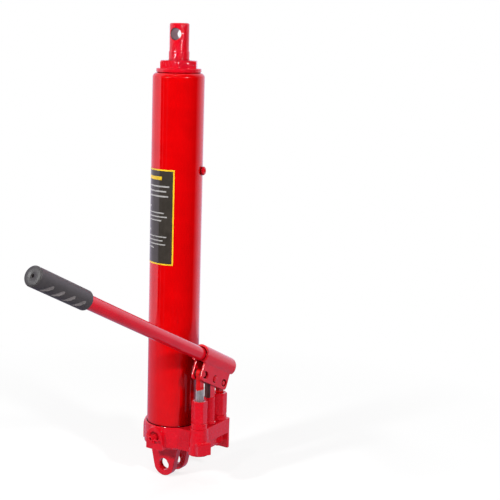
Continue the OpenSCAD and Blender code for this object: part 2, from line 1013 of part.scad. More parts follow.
module release_valve_screw() {
    color(paint_red)
        difference() {
            union() {
                level_rod(release_nose_r, release_seat + 5.45, release_body_y, valve_z, -90);
                level_rod(release_bore_r - run, release_body_y - 0.5, release_recess_y, valve_z, -90);
                level_rod(release_head_r, release_recess_y - 1, release_head_y - 1, valve_z, -90);
                translate([0, 1 - release_head_y, valve_z])
                    rotate([90, 0, 0]) cylinder(r1 = release_head_r, r2 = release_head_r - 1, h = 1);
            }
            translate([0, -cross_pin_y, valve_z])
                rotate([0, cross_pin_rise, 0]) cross_rod(cross_pin_r + eps, -cut, cut);
            difference() {
                level_rod(release_bore_r + 1, seal_y - 0.1, seal_y + seal_w + 0.1, valve_z, -90);
                level_rod(release_seal_in - 0.1, seal_y - 1, seal_y + seal_w + 1, valve_z, -90);
            }
        }
}

module release_valve_cross_pin() {
    color(paint_red)
        translate([0, -cross_pin_y, valve_z])
            rotate([0, cross_pin_rise, 0]) cross_rod(cross_pin_r, -cross_pin_half, cross_pin_half);
}

module release_valve_o_ring() {
    color(rubber_black)
        difference() {
            level_rod(release_bore_r - 0.04, seal_y, seal_y + seal_w, valve_z, -90);
            level_rod(release_seal_in, seal_y - 1, seal_y + seal_w + 1, valve_z, -90);
        }
}

base_casting();
clevis_yoke();
base_gasket();
reservoir_tube();
pressure_cylinder();
cylinder_seal_washer();
top_collar();
collar_o_ring();
gland_nut();
ram_guide_bush();
rod_seal();
rod_wiper();
filler_plug();
filler_plug_washer();
front_pump_body();
rear_pump_body();
pump_body_washers();
pump_rod_seals();
fulcrum_post();
fulcrum_pin();
fulcrum_pin_cotter();
front_suction_ball();
rear_suction_ball();
front_suction_spring();
rear_suction_spring();
suction_plugs();
front_discharge_ball();
rear_discharge_ball();
discharge_ball_stops();
safety_ball();
safety_spring();
safety_plug();
release_ball();
label_panel();
ram_piston();
piston_cup_seal();
piston_wear_ring();
ram_rod();
ram_tip();
piston_nut();
handle_socket();
front_plunger();
front_plunger_pin();
front_pin_cotter();
rear_plunger();
rear_plunger_pin();
rear_pin_cotter();
handle_tube();
handle_grip();
release_valve_screw();
release_valve_cross_pin();
release_valve_o_ring();
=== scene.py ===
"""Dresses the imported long-ram hydraulic jack: soft cast edges, paint, steel, rubber, stage and camera."""

import math

import bmesh
import bpy
from bpy.props import FloatProperty, FloatVectorProperty, IntProperty, PointerProperty
from mathutils import Matrix, Vector, noise


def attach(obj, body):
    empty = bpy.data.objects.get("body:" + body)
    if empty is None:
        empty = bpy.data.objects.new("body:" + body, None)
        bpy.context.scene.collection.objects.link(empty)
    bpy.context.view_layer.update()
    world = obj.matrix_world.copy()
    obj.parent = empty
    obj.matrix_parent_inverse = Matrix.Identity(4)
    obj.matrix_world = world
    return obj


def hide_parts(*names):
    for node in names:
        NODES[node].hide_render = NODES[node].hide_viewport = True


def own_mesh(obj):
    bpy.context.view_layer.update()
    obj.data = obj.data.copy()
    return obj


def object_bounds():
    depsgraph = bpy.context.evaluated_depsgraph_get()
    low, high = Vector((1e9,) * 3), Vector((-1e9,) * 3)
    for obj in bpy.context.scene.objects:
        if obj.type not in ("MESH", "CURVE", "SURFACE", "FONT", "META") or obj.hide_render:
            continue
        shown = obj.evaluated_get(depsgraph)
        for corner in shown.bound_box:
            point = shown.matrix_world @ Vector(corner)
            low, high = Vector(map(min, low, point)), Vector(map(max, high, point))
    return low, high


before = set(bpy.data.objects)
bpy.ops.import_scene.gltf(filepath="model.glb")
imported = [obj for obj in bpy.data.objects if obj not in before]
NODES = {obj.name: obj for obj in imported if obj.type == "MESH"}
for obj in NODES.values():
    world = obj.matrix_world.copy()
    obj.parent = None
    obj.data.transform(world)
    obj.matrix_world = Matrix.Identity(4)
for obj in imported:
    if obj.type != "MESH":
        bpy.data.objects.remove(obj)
CAD_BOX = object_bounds()

bl_info = {
    "name": "Long-Ram Jack Dresser",
    "version": (1, 0, 0),
    "blender": (4, 5, 0),
    "location": "View3D > Sidebar > Jack",
    "description": "Builds the painted, rounded pieces of a hydraulic long-ram jack around its CAD frame",
    "category": "Object",
}

# Sizes and places in mm, and angles in radians, as in the part's source
PUMP_X = 64.5
PUMP_PITCH = 26.0
PUMP_SEAT_Z = 71.0
PUMP_TOP = 111.0
FULCRUM_Z = 138.1
HANDLE_TILT = math.radians(25.5)
PIN_RISE = PUMP_PITCH * math.tan(HANDLE_TILT)
ROLL_Z = 26.0
TUBE_R = 37.0
TUBE_TOP = 571.5
RING_TOP = 63.5
COLLAR_TOP = 577.5
GLAND_TOP = 588.5
TIP_HOLE_Z = 625.0
TIP_TURN = math.radians(7.5)
VALVE_Z = 48.0
FILLER_Z = 434.0
FILLER_TURN = math.radians(17)
SUCTION_X = 14.0
SUCTION_PLUG_Z = 39.5
SAFETY_PLUG_X = -36.0

# In metres
MM = 0.001
FLOOR_HALF = 0.8

# Frame of the socket at rest, and of the handle: local Z runs to the grip, local Y is up
SOCKET_FRAME = (Matrix.Translation((PUMP_X * MM, 0, FULCRUM_Z * MM))
                @ Matrix.Rotation(-HANDLE_TILT, 4, "X"))
HANDLE_FRAME = (SOCKET_FRAME @ Matrix.Translation((0, 0, ROLL_Z * MM))
                @ Matrix.Rotation(math.pi / 2, 4, "X"))


# Values a user would change

def colour_value(name, description, default):
    """Colour among the values of a property group."""
    return FloatVectorProperty(name=name, description=description, subtype="COLOR", size=3,
                               min=0, max=1, default=default)


def power_value(name, description, default):
    """Power of a lamp in watts among the values of a property group."""
    return FloatProperty(name=name, description=description, default=default, min=0, unit="POWER")


class JackFinish(bpy.types.PropertyGroup):
    paint: colour_value("Paint", "Colour of the gloss paint on the jack", (0.70, 0.0003, 0.0012))
    cast_paint: colour_value(
        "Thick paint", "Colour of the thicker paint on castings and fittings", (0.72, 0.0035, 0.014))
    steel: colour_value("Steel", "Colour of the ground steel", (0.60, 0.585, 0.57))
    rubber: colour_value("Grip rubber", "Colour of the handle grip", (0.060, 0.054, 0.055))
    panel_ground: colour_value(
        "Panel ground", "Ground colour of the bare panel on the tube", (0.042, 0.036, 0.030))
    panel_line: colour_value(
        "Panel line", "Colour of the panel's edge line and top bar", (0.86, 0.56, 0.02))
    panel_rule: colour_value(
        "Panel rules", "Colour of the plain rules on the panel", (0.42, 0.41, 0.40))
    peel: FloatProperty(
        name="Orange peel", description="Depth of the orange peel in the paint",
        default=1.0, min=0, max=3)
    dust: FloatProperty(
        name="Dust", description="Amount of dust on surfaces that face up",
        default=0.25, min=0, max=1, subtype="FACTOR")


class JackForm(bpy.types.PropertyGroup):
    cast_voxel: FloatProperty(
        name="Casting detail", description="Size of the facets of the soft cast skin",
        default=0.0007, min=0.0004, max=0.003, unit="LENGTH")
    cast_rounds: IntProperty(
        name="Casting rounding", description="Smoothing passes over the cast skin",
        default=4, min=0, max=40)
    cast_lump: FloatProperty(
        name="Casting lumps", description="Height of the sand-cast unevenness",
        default=0.00022, min=0, max=0.001, unit="LENGTH")
    turn_segments: IntProperty(
        name="Turned facets", description="Facets round the turned pieces",
        default=128, min=24, max=360)
    groove_depth: FloatProperty(
        name="Finger groove depth", description="Depth of the grooves under the grip",
        default=0.0020, min=0, max=0.003, unit="LENGTH")


class JackStage(bpy.types.PropertyGroup):
    eye: FloatVectorProperty(
        name="Camera", description="Place of the camera", subtype="TRANSLATION",
        unit="LENGTH", size=3, default=(0.9465, -1.3771, 0.6268))
    turn: FloatProperty(
        name="View turn", description="Turn of the view from straight across the handle",
        subtype="ANGLE", default=math.radians(34.5))
    pitch: FloatProperty(
        name="View pitch", description="How far the camera looks down", subtype="ANGLE",
        default=math.radians(8.99))
    roll: FloatProperty(
        name="View roll", description="Roll of the camera", subtype="ANGLE",
        default=math.radians(1.10))
    lens: FloatProperty(
        name="Lens", description="Focal length in millimetres", default=84.8, min=10)
    shift: FloatVectorProperty(
        name="Shift", description="Shift of the picture", size=2, default=(0.148, -0.062))
    floor: colour_value("Floor", "Colour of the floor", (0.90, 0.90, 0.90))
    left_power: power_value("Left light", "Power of the front light on the left, in watts", 18.8)
    right_power: power_value("Right light", "Power of the front light on the right, in watts", 16.4)
    glint_power: power_value("Glint light", "Power of the small high light, in watts", 3.0)
    fill: FloatProperty(
        name="Fill", description="Level of the soft fill light from the front",
        default=0.10, min=0, max=2)
    back_fill: FloatProperty(
        name="Back fill", description="Level of the soft fill light from behind",
        default=0.80, min=0, max=2)


# Mesh tools

def fillet(points, radius, steps):
    """Rounds every corner of a line of (radius, height) points but its two ends."""
    out = [points[0]]
    for before, here, after in zip(points, points[1:], points[2:]):
        a, p, b = Vector(before), Vector(here), Vector(after)
        reach = min(radius, (a - p).length * 0.49, (b - p).length * 0.49)
        start, end = p + (a - p).normalized() * reach, p + (b - p).normalized() * reach
        for k in range(steps + 1):
            t = k / steps
            q = start * (1 - t) ** 2 + p * (2 * t * (1 - t)) + end * t * t
            out.append((q.x, q.y))
    out.append(points[-1])
    return out


def skin_rings(bm, rings):
    """Faces between rings of vertices that follow each other; a ring of one vertex is a pole."""
    for low, high in zip(rings, rings[1:]):
        count = max(len(low), len(high))
        for i in range(count):
            j = (i + 1) % count
            if len(low) == 1 and len(high) > 1:
                bm.faces.new((low[0], high[j], high[i]))
            elif len(high) == 1 and len(low) > 1:
                bm.faces.new((low[i], low[j], high[0]))
            elif len(low) > 1:
                bm.faces.new((low[i], low[j], high[j], high[i]))


def turned(bm, profile, segments, shape=None, close=False):
    """Turns (radius, height) points in mm round Z. shape(radius, angle, height) may change a radius."""
    rings = []
    for r, z in profile:
        if r < 1e-6:
            rings.append([bm.verts.new((0, 0, z * MM))])
            continue
        ring = []
        for i in range(segments):
            a = 2 * math.pi * i / segments
            q = shape(r, a, z) if shape else r
            ring.append(bm.verts.new((q * math.cos(a) * MM, q * math.sin(a) * MM, z * MM)))
        rings.append(ring)
    if close:
        rings.append(rings[0])
    skin_rings(bm, rings)


def tube_along(bm, path, radius, sides):
    """Round bar of one radius in mm along a line of points in mm, with domed ends."""
    points = [Vector(p) * MM for p in path]
    rings = []
    side = None
    for i, p in enumerate(points):
        ahead = (points[min(i + 1, len(points) - 1)] - points[max(i - 1, 0)]).normalized()
        if side is None:
            side = ahead.orthogonal().normalized()
        side = (side - ahead * side.dot(ahead)).normalized()
        other = ahead.cross(side)
        rings.append([bm.verts.new(p + (side * math.cos(a) + other * math.sin(a)) * radius * MM)
                      for a in (2 * math.pi * k / sides for k in range(sides))])
    skin_rings(bm, rings)
    halfway = 0.7
    for ring, end, inner in ((rings[0], points[0], points[1]),
                             (rings[-1], points[-1], points[-2])):
        out = (end - inner).normalized() * radius * MM
        crown = [bm.verts.new(end + (v.co - end) * halfway + out * halfway) for v in ring]
        pole = [bm.verts.new(end + out)]
        skin_rings(bm, [ring, crown, pole])


def piece(name, bm, body, finishes, stands_for=(), place=None):
    """Makes a dressed object from a bmesh, moved to its place."""
    bmesh.ops.recalc_face_normals(bm, faces=bm.faces)
    mesh = bpy.data.meshes.new(name)
    bm.to_mesh(mesh)
    bm.free()
    if place is not None:
        mesh.transform(place)
    return dress(name, mesh, body, finishes, stands_for)


def dress(name, mesh, body, finishes, stands_for=()):
    """Makes an object from a mesh, gives it its finishes and lets it ride on its body."""
    for material in finishes:
        mesh.materials.append(material)
    mesh.polygons.foreach_set("use_smooth", [True] * len(mesh.polygons))
    mesh.update()
    obj = bpy.data.objects.new(name, mesh)
    bpy.context.scene.collection.objects.link(obj)
    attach(obj, body)
    if stands_for:
        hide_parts(*stands_for)
    return obj


def sharpen(obj, angle):
    """Keeps edges steeper than an angle crisp in the shading."""
    obj.data.set_sharp_from_angle(angle=angle)


def soft_skin(node, voxel, rounds, lump=0.0, grain=90.0):
    """Copy of a CAD node as one fine skin with rounded edges and a little cast unevenness."""
    bm = bmesh.new()
    bm.from_mesh(NODES[node].data)
    bmesh.ops.remove_doubles(bm, verts=bm.verts, dist=1e-6)
    mesh = bpy.data.meshes.new("skin")
    bm.to_mesh(mesh)
    bm.free()
    mesh.materials.clear()
    holder = bpy.data.objects.new("skin", mesh)
    bpy.context.scene.collection.objects.link(holder)
    remesh = holder.modifiers.new("skin", "REMESH")
    remesh.mode = "VOXEL"
    remesh.voxel_size = voxel
    smooth = holder.modifiers.new("round", "SMOOTH")
    smooth.factor = 0.5
    smooth.iterations = rounds
    graph = bpy.context.evaluated_depsgraph_get()
    skin = bpy.data.meshes.new_from_object(holder.evaluated_get(graph))
    bpy.data.objects.remove(holder)
    bpy.data.meshes.remove(mesh)
    if lump:
        places = [v.co.copy() for v in skin.vertices]
        normals = [n.vector.copy() for n in skin.vertex_normals]
        moved = []
        for co, normal in zip(places, normals):
            p = co * grain
            sink = lump * (0.5 + 0.5 * noise.noise(p) + 0.25 * noise.noise(p * 3.1))
            moved.extend(co - normal * sink)
        skin.vertices.foreach_set("co", moved)
        skin.update()
    return skin


# Shader tools

class Net:
    """Small helper that adds nodes to a tree and links them."""

    def __init__(self, tree):
        self.tree = tree
        tree.nodes.clear()

    def add(self, kind, settings=None, **inputs):
        node = self.tree.nodes.new(kind)
        for key, value in (settings or {}).items():
            setattr(node, key, value)
        for key, value in inputs.items():
            self.feed(node.inputs[key.replace("_", " ")], value)
        return node

    def feed(self, socket, value):
        if isinstance(value, bpy.types.NodeSocket):
            self.tree.links.new(value, socket)
        else:
            socket.default_value = value

    def math(self, operation, a, b=0.0, clamp=False):
        node = self.tree.nodes.new("ShaderNodeMath")
        node.operation = operation
        node.use_clamp = clamp
        self.feed(node.inputs[0], a)
        self.feed(node.inputs[1], b)
        return node.outputs[0]

    def ramp(self, value, low, high, out_low=0.0, out_high=1.0):
        node = self.add("ShaderNodeMapRange", {"clamp": True})
        for key, v in (("Value", value), ("From Min", low), ("From Max", high),
                       ("To Min", out_low), ("To Max", out_high)):
            self.feed(node.inputs[key], v)
        return node.outputs["Result"]

    def noise(self, vector, scale, detail=2.0, roughness=0.5):
        node = self.add("ShaderNodeTexNoise", Scale=scale, Detail=detail, Roughness=roughness)
        self.tree.links.new(vector, node.inputs["Vector"])
        return node.outputs["Fac"]

    def dot(self, vector, direction):
        node = self.add("ShaderNodeVectorMath", {"operation": "DOT_PRODUCT"})
        self.feed(node.inputs[0], vector)
        self.feed(node.inputs[1], direction)
        return node.outputs["Value"]

    def blend(self, factor, a, b):
        node = self.add("ShaderNodeMixShader", Fac=factor)
        self.feed(node.inputs[1], a)
        self.feed(node.inputs[2], b)
        return node.outputs["Shader"]

    def mix(self, factor, a, b):
        node = self.tree.nodes.new("ShaderNodeMix")
        node.data_type = "RGBA"
        self.feed(node.inputs["Factor"], factor)
        self.feed(node.inputs["A"], a)
        self.feed(node.inputs["B"], b)
        return node.outputs["Result"]


def group(name, inputs, outputs):
    """Empty shader node group with float sockets; returns its net and its group input."""
    tree = bpy.data.node_groups.new(name, "ShaderNodeTree")
    for label, default in inputs:
        socket = tree.interface.new_socket(label, in_out="INPUT", socket_type="NodeSocketFloat")
        socket.default_value = default
    for label in outputs:
        tree.interface.new_socket(label, in_out="OUTPUT", socket_type="NodeSocketFloat")
    net = Net(tree)
    return net, net.add("NodeGroupInput"), net.add("NodeGroupOutput")


def make_orange_peel():
    """Fine waves of sprayed paint, with small nibs that are painted as light specks (painted glints)."""
    net, given, made = group("orange_peel", (("Scale", 700.0), ("Depth", 1.0)), ("Height", "NibGlints"))
    where = net.add("ShaderNodeTexCoord").outputs["Object"]
    coarse = net.noise(where, given.outputs["Scale"], 0.5, 0.4)
    fine = net.noise(where, net.math("MULTIPLY", given.outputs["Scale"], 2.7), 0.0)
    waves = net.math("ADD", coarse, net.math("MULTIPLY", fine, 0.10))
    nib_glints = net.ramp(net.noise(where, net.math("MULTIPLY", given.outputs["Scale"], 0.8), 0.0),
                    0.70, 0.80)
    net.feed(made.inputs["Height"], net.math("MULTIPLY", waves, given.outputs["Depth"]))
    net.feed(made.inputs["NibGlints"], nib_glints)
    return net.tree


def make_dust():
    """Mask of dust that settles on what faces up at rest."""
    net, given, made = group("dust", (("Amount", 0.3),), ("Mask",))
    coord = net.add("ShaderNodeTexCoord")
    up = net.add("ShaderNodeSeparateXYZ", Vector=coord.outputs["Normal"]).outputs["Z"]
    lie = net.ramp(up, 0.25, 1.0)
    cloud = net.ramp(net.noise(coord.outputs["Object"], 160.0, 4.0, 0.6), 0.35, 0.75)
    net.feed(made.inputs["Mask"], net.math(
        "MULTIPLY", net.math("MULTIPLY", lie, cloud), given.outputs["Amount"], clamp=True))
    return net.tree


def make_edge_wear():
    """Mask of thin paint along sharp outer edges, broken up by noise."""
    net, given, made = group("edge_wear", (("Start", 0.54), ("Amount", 0.5)), ("Mask",))
    coord = net.add("ShaderNodeTexCoord")
    keen = net.add("ShaderNodeNewGeometry").outputs["Pointiness"]
    edge = net.ramp(keen, given.outputs["Start"], net.math("ADD", given.outputs["Start"], 0.08))
    broken = net.ramp(net.noise(coord.outputs["Object"], 420.0, 3.0, 0.6), 0.40, 0.62)
    net.feed(made.inputs["Mask"], net.math(
        "MULTIPLY", net.math("MULTIPLY", edge, broken), given.outputs["Amount"], clamp=True))
    return net.tree


def make_painted_shade():
    """Mask of painted shade in seams and corners, where the piece meets itself or its neighbours, from
    ambient occlusion.
    """
    net, given, made = group("painted_shade", (("Amount", 0.6), ("Reach", 0.004), ("Clear", 0.62)), ("Mask",))
    open_sky = net.add("ShaderNodeAmbientOcclusion", {"samples": 8},
                       Distance=given.outputs["Reach"]).outputs["AO"]
    net.feed(made.inputs["Mask"], net.math(
        "MULTIPLY", net.ramp(open_sky, 0.15, given.outputs["Clear"], 1.0, 0.0),
        given.outputs["Amount"], clamp=True))
    return net.tree


def make_steel_grain():
    """Fine grinding lines round or along a steel piece."""
    net, given, made = group("steel_grain", (("Along", 60.0), ("Across", 2600.0)),
                             ("Height", "Tone"))
    where = net.add("ShaderNodeTexCoord").outputs["Object"]
    stretch = net.add("ShaderNodeCombineXYZ", X=given.outputs["Across"],
                      Y=given.outputs["Across"], Z=given.outputs["Along"]).outputs["Vector"]
    scaled = net.add("ShaderNodeVectorMath", {"operation": "MULTIPLY"})
    net.feed(scaled.inputs[0], where)
    net.feed(scaled.inputs[1], stretch)
    lines = net.noise(scaled.outputs["Vector"], 1.0, 2.0, 0.5)
    blotch = net.noise(where, 120.0, 3.0, 0.6)
    net.feed(made.inputs["Height"], lines)
    net.feed(made.inputs["Tone"], net.math("ADD", net.math("MULTIPLY", lines, 0.5),
                                          net.math("MULTIPLY", blotch, 0.5)))
    return net.tree


GROUPS = {}
FINISHES = {}
RED_DUST = (0.62, 0.42, 0.41, 1.0)
GREY_DUST = (0.30, 0.30, 0.30, 1.0)
WORN_EDGE = (0.55, 0.20, 0.20, 1.0)


def shared(name):
    """A shader group by name, built once."""
    makers = {"orange_peel": make_orange_peel, "dust": make_dust, "edge_wear": make_edge_wear,
              "painted_shade": make_painted_shade, "steel_grain": make_steel_grain}
    if name not in GROUPS:
        GROUPS[name] = makers[name]()
    return GROUPS[name]


def finish_start(name, **constants):
    """New material with a Principled shader whose constants are set on its own sockets."""
    mat = bpy.data.materials.new(name)
    mat.use_nodes = True
    net = Net(mat.node_tree)
    out = net.add("ShaderNodeOutputMaterial")
    shader = net.add("ShaderNodeBsdfPrincipled")
    net.feed(out.inputs["Surface"], shader.outputs["BSDF"])
    for key, value in constants.items():
        shader.inputs[key.replace("_", " ")].default_value = value
    return mat, net, shader


def placed(net, name, **values):
    """Places a shared group in a material with its own values."""
    node = net.add("ShaderNodeGroup", {"node_tree": shared(name)})
    for key, value in values.items():
        net.feed(node.inputs[key], value)
    return node.outputs


def rgba(colour, level=1.0):
    return (colour[0] * level, colour[1] * level, colour[2] * level, 1.0)


def paint_finish(name, colour, peel_scale, peel_depth, rough, dust, nib_glints=0.0, wear=0.0, seam_and_shade=None):
    """Gloss paint: colour clouds, orange peel, nibs painted as light specks, a little dust, thin edges,
    painted shade in seams and corners, and dark joints.

    The seam height, in metres, is that of a joint that is dark; it also turns on a wide painted shade where
    nearby parts close in.
    """
    scene = bpy.context.scene
    mat, net, shader = finish_start(name, IOR=1.5)
    where = net.add("ShaderNodeTexCoord").outputs["Object"]
    cloud = net.noise(where, 45.0, 3.0, 0.55)
    tone = net.mix(net.ramp(cloud, 0.3, 0.7), rgba(colour, 0.93), rgba(colour, 1.05))
    peel = placed(net, "orange_peel", Scale=peel_scale, Depth=peel_depth * scene.jack_finish.peel)
    # Painted highlight: nibs are coloured lighter and pinker, as specks of glint
    if nib_glints:
        tone = net.mix(net.math("MULTIPLY", peel["NibGlints"], nib_glints), tone,
                       (colour[0] * 1.15, colour[1] + 0.10, colour[2] + 0.10, 1.0))
    if wear:
        worn = placed(net, "edge_wear", Start=0.53, Amount=wear)["Mask"]
        tone = net.mix(worn, tone, WORN_EDGE)
    veil = placed(net, "dust", Amount=dust)["Mask"]
    tone = net.mix(veil, tone, RED_DUST)
    # Painted shade: the paint goes nearly black in seams and corners within 4 mm
    corner_shade_mask = placed(net, "painted_shade", Amount=0.6)["Mask"]
    tone = net.mix(corner_shade_mask, tone, (colour[0] * 0.06, 0.0005, 0.001, 1.0))
    if seam_and_shade:
        # Painted shade: the paint darkens to a tenth of its colour where nearby parts close in, within 45
        # mm
        shade = placed(net, "painted_shade", Amount=0.75, Reach=0.045, Clear=0.92)["Mask"]
        tone = net.mix(shade, tone, rgba(colour, 0.10))
        up = net.add("ShaderNodeSeparateXYZ", Vector=where).outputs["Z"]
        tone = net.mix(net.ramp(up, seam_and_shade + 0.5 * MM, seam_and_shade + 1.3 * MM), rgba(colour, 0.05), tone)
    net.feed(shader.inputs["Base Color"], tone)
    net.feed(shader.inputs["Roughness"], net.math(
        "ADD", net.ramp(cloud, 0.2, 0.8, rough * 0.85, rough * 1.15),
        net.math("MULTIPLY", veil, 0.35)))
    bump = net.add("ShaderNodeBump", Strength=0.35, Distance=0.0003, Height=peel["Height"])
    net.feed(shader.inputs["Normal"], bump.outputs["Normal"])
    return mat


def steel_finish(name, colour, rough, along, across, depth=0.12, sprayed_from=None):
    """Ground steel with fine lines and a blotchy tone, and overspray above a height in metres."""
    mat, net, shader = finish_start(name, Metallic=1.0)
    grain = placed(net, "steel_grain", Along=along, Across=across)
    tone = net.mix(net.ramp(grain["Tone"], 0.3, 0.7), rgba(colour, 0.78), rgba(colour, 1.1))
    if sprayed_from:
        where = net.add("ShaderNodeTexCoord").outputs["Object"]
        up = net.add("ShaderNodeSeparateXYZ", Vector=where).outputs["Z"]
        sprayed = net.ramp(up, sprayed_from, sprayed_from + 0.3 * MM)
        tone = net.mix(sprayed, tone, rgba(bpy.context.scene.jack_finish.cast_paint))
        net.feed(shader.inputs["Metallic"], net.ramp(sprayed, 0.0, 1.0, 1.0, 0.0))
    net.feed(shader.inputs["Base Color"], tone)
    net.feed(shader.inputs["Roughness"], net.ramp(grain["Tone"], 0.25, 0.75,
                                                 rough * 0.75, rough * 1.3))
    bump = net.add("ShaderNodeBump", Strength=depth, Distance=0.0001, Height=grain["Height"])
    net.feed(shader.inputs["Normal"], bump.outputs["Normal"])
    return mat


def rubber_finish(name, colour, rough, grain=900.0, depth=0.35, dust=0.15):
    """Matt rubber with a fine moulded grain and dust."""
    mat, net, shader = finish_start(name, IOR=1.45)
    skin = placed(net, "orange_peel", Scale=grain, Depth=1.0)
    veil = placed(net, "dust", Amount=dust)["Mask"]
    where = net.add("ShaderNodeTexCoord").outputs["Object"]
    cloud = net.noise(where, 70.0, 4.0, 0.6)
    tone = net.mix(net.ramp(cloud, 0.3, 0.7), rgba(colour, 0.85), rgba(colour, 1.2))
    net.feed(shader.inputs["Base Color"], net.mix(veil, tone, GREY_DUST))
    net.feed(shader.inputs["Roughness"], net.ramp(cloud, 0.3, 0.7, rough * 0.9, rough * 1.1))
    bump = net.add("ShaderNodeBump", Strength=depth, Distance=0.0002, Height=skin["Height"])
    net.feed(shader.inputs["Normal"], bump.outputs["Normal"])
    return mat


def plunger_finish():
    """Ground steel below, overspray on the flat upper end down to a ragged line."""
    look = bpy.context.scene.jack_finish
    mat, net, shader = finish_start("plunger_steel", IOR=1.5)
    coord = net.add("ShaderNodeTexCoord")
    split = net.add("ShaderNodeSeparateXYZ", Vector=coord.outputs["Object"])
    grain = placed(net, "steel_grain", Along=12.0, Across=560.0)
    peel = placed(net, "orange_peel", Scale=700.0, Depth=look.peel)
    rag = net.math("MULTIPLY", net.noise(coord.outputs["Object"], 260.0, 2.0), 0.004)
    # The paint line follows each plunger's own height at rest and hangs down in the middle
    line_drop, plunger_r, hang = 20.5, 6.0, 1.5
    front = net.math("LESS_THAN", split.outputs["Y"], 0.0)
    level = net.ramp(front, 0.0, 1.0, (FULCRUM_Z - PIN_RISE - line_drop) * MM,
                     (FULCRUM_Z + PIN_RISE - line_drop) * MM)
    off = net.math("ABSOLUTE", net.math("SUBTRACT", split.outputs["X"], PUMP_X * MM))
    tongue = net.ramp(off, 0.0, plunger_r * MM, hang * MM, 0.0)
    ragged = net.math("ADD", net.math("ADD", split.outputs["Z"], rag), tongue)
    painted = net.ramp(net.math("SUBTRACT", ragged, level), 0.0, 0.6 * MM)
    bare = net.mix(net.ramp(grain["Tone"], 0.3, 0.7), rgba(look.steel, 0.30), rgba(look.steel, 1.5))
    net.feed(shader.inputs["Base Color"], net.mix(painted, bare, rgba(look.paint)))
    net.feed(shader.inputs["Metallic"], net.ramp(painted, 0.0, 1.0, 0.7, 0.0))
    net.feed(shader.inputs["Roughness"], net.ramp(painted, 0.0, 1.0, 0.30, 0.2))
    height = net.math("ADD", net.math("MULTIPLY", grain["Height"], net.math("SUBTRACT", 1.0, painted)),
                      net.math("MULTIPLY", net.math("MULTIPLY", peel["Height"], painted), 0.3))
    bump = net.add("ShaderNodeBump", Strength=0.9, Distance=0.0004, Height=height)
    net.feed(shader.inputs["Normal"], bump.outputs["Normal"])
    return mat


def finish(name):
    """A material by name, built once."""
    look = bpy.context.scene.jack_finish
    red, gloss, steel, rubber = look.cast_paint, look.paint, look.steel, look.rubber
    # Paints: colour, scale and depth of the peel, roughness, dust
    paints = {
        "gloss_paint": (gloss, 300.0, 0.25, 0.08, 0.0),
        "thick_paint": (red, 420.0, 7.0, 0.045, look.dust * 0.2),
        "cast_paint": (red, 300.0, 5.0, 0.05, look.dust * 0.1),
        "handle_paint": (red, 500.0, 0.3, 0.06, look.dust * 0.3),
        "socket_paint": (red, 700.0, 1.2, 0.20, look.dust * 0.6),
    }
    paint_marks = {
        "gloss_paint": {"seam_and_shade": RING_TOP * MM},
        "thick_paint": {"nib_glints": 0.12},
        "cast_paint": {"nib_glints": 0.12},
        "socket_paint": {"wear": 0.15},
    }
    # Steels: colour, roughness, scale of the grain along and across, depth of the grain, overspray
    steels = {
        "bright_steel": (steel, 0.24, 60.0, 2600.0),
        "bare_bore": ((0.25, 0.15, 0.135), 0.42, 900.0, 900.0, 0.3),
        "ram_chrome": ((0.72, 0.72, 0.73), 0.08, 30.0, 900.0, 0.03, (GLAND_TOP - 1.0) * MM),
        "dark_steel": ((0.20, 0.20, 0.21), 0.38, 300.0, 900.0),
        "oiled_steel": ((0.035, 0.030, 0.028), 0.45, 300.0, 900.0),
        "bronze": ((0.60, 0.38, 0.16), 0.30, 60.0, 1800.0),
    }
    # Rubber and print: colour, roughness, scale and depth of the grain, dust
    rubbers = {
        "seal_rubber": ((0.012, 0.012, 0.013), 0.55),
        "grip_rubber": (rubber, 0.50),
        # Painted highlight: the finger grooves are 3.6 times lighter than the grip
        "lit_groove_rubber": ([3.6 * v for v in rubber], 0.45),
        # Painted shade: the grip's end face is 0.42 of the grip's colour
        "shaded_end_rubber": ([0.42 * v for v in rubber], 0.50),
        "panel_ground": (look.panel_ground, 0.14, 500.0, 0.06, 0.0),
        "panel_line": (look.panel_line, 0.30, 500.0, 0.06, 0.0),
        "panel_rule": (look.panel_rule, 0.30, 500.0, 0.06, 0.0),
    }
    if name not in FINISHES:
        if name in paints:
            FINISHES[name] = paint_finish(name, *paints[name], **paint_marks.get(name, {}))
        elif name in steels:
            FINISHES[name] = steel_finish(name, *steels[name])
        elif name in rubbers:
            FINISHES[name] = rubber_finish(name, *rubbers[name])
        elif name == "plunger_steel":
            FINISHES[name] = plunger_finish()
    return FINISHES[name]


# Pieces

class JackPiece:
    """What the operators share."""
    bl_options = {"REGISTER", "UNDO"}


class JACK_OT_cast_base(JackPiece, bpy.types.Operator):
    """Rounded, slightly uneven skins of the base casting and the clevis fork"""
    bl_idname = "jack.cast_base"
    bl_label = "Cast base"

    def execute(self, context):
        form = context.scene.jack_form
        base = soft_skin("base_casting", form.cast_voxel, form.cast_rounds, form.cast_lump)
        dress("cast_base", base, "jack_body", [finish("cast_paint")],
              ["base_casting"])
        fork = soft_skin("clevis_yoke", form.cast_voxel, form.cast_rounds, form.cast_lump * 0.6)
        dress("clevis_fork", fork, "jack_body", [finish("cast_paint")], ["clevis_yoke"])
        return {"FINISHED"}


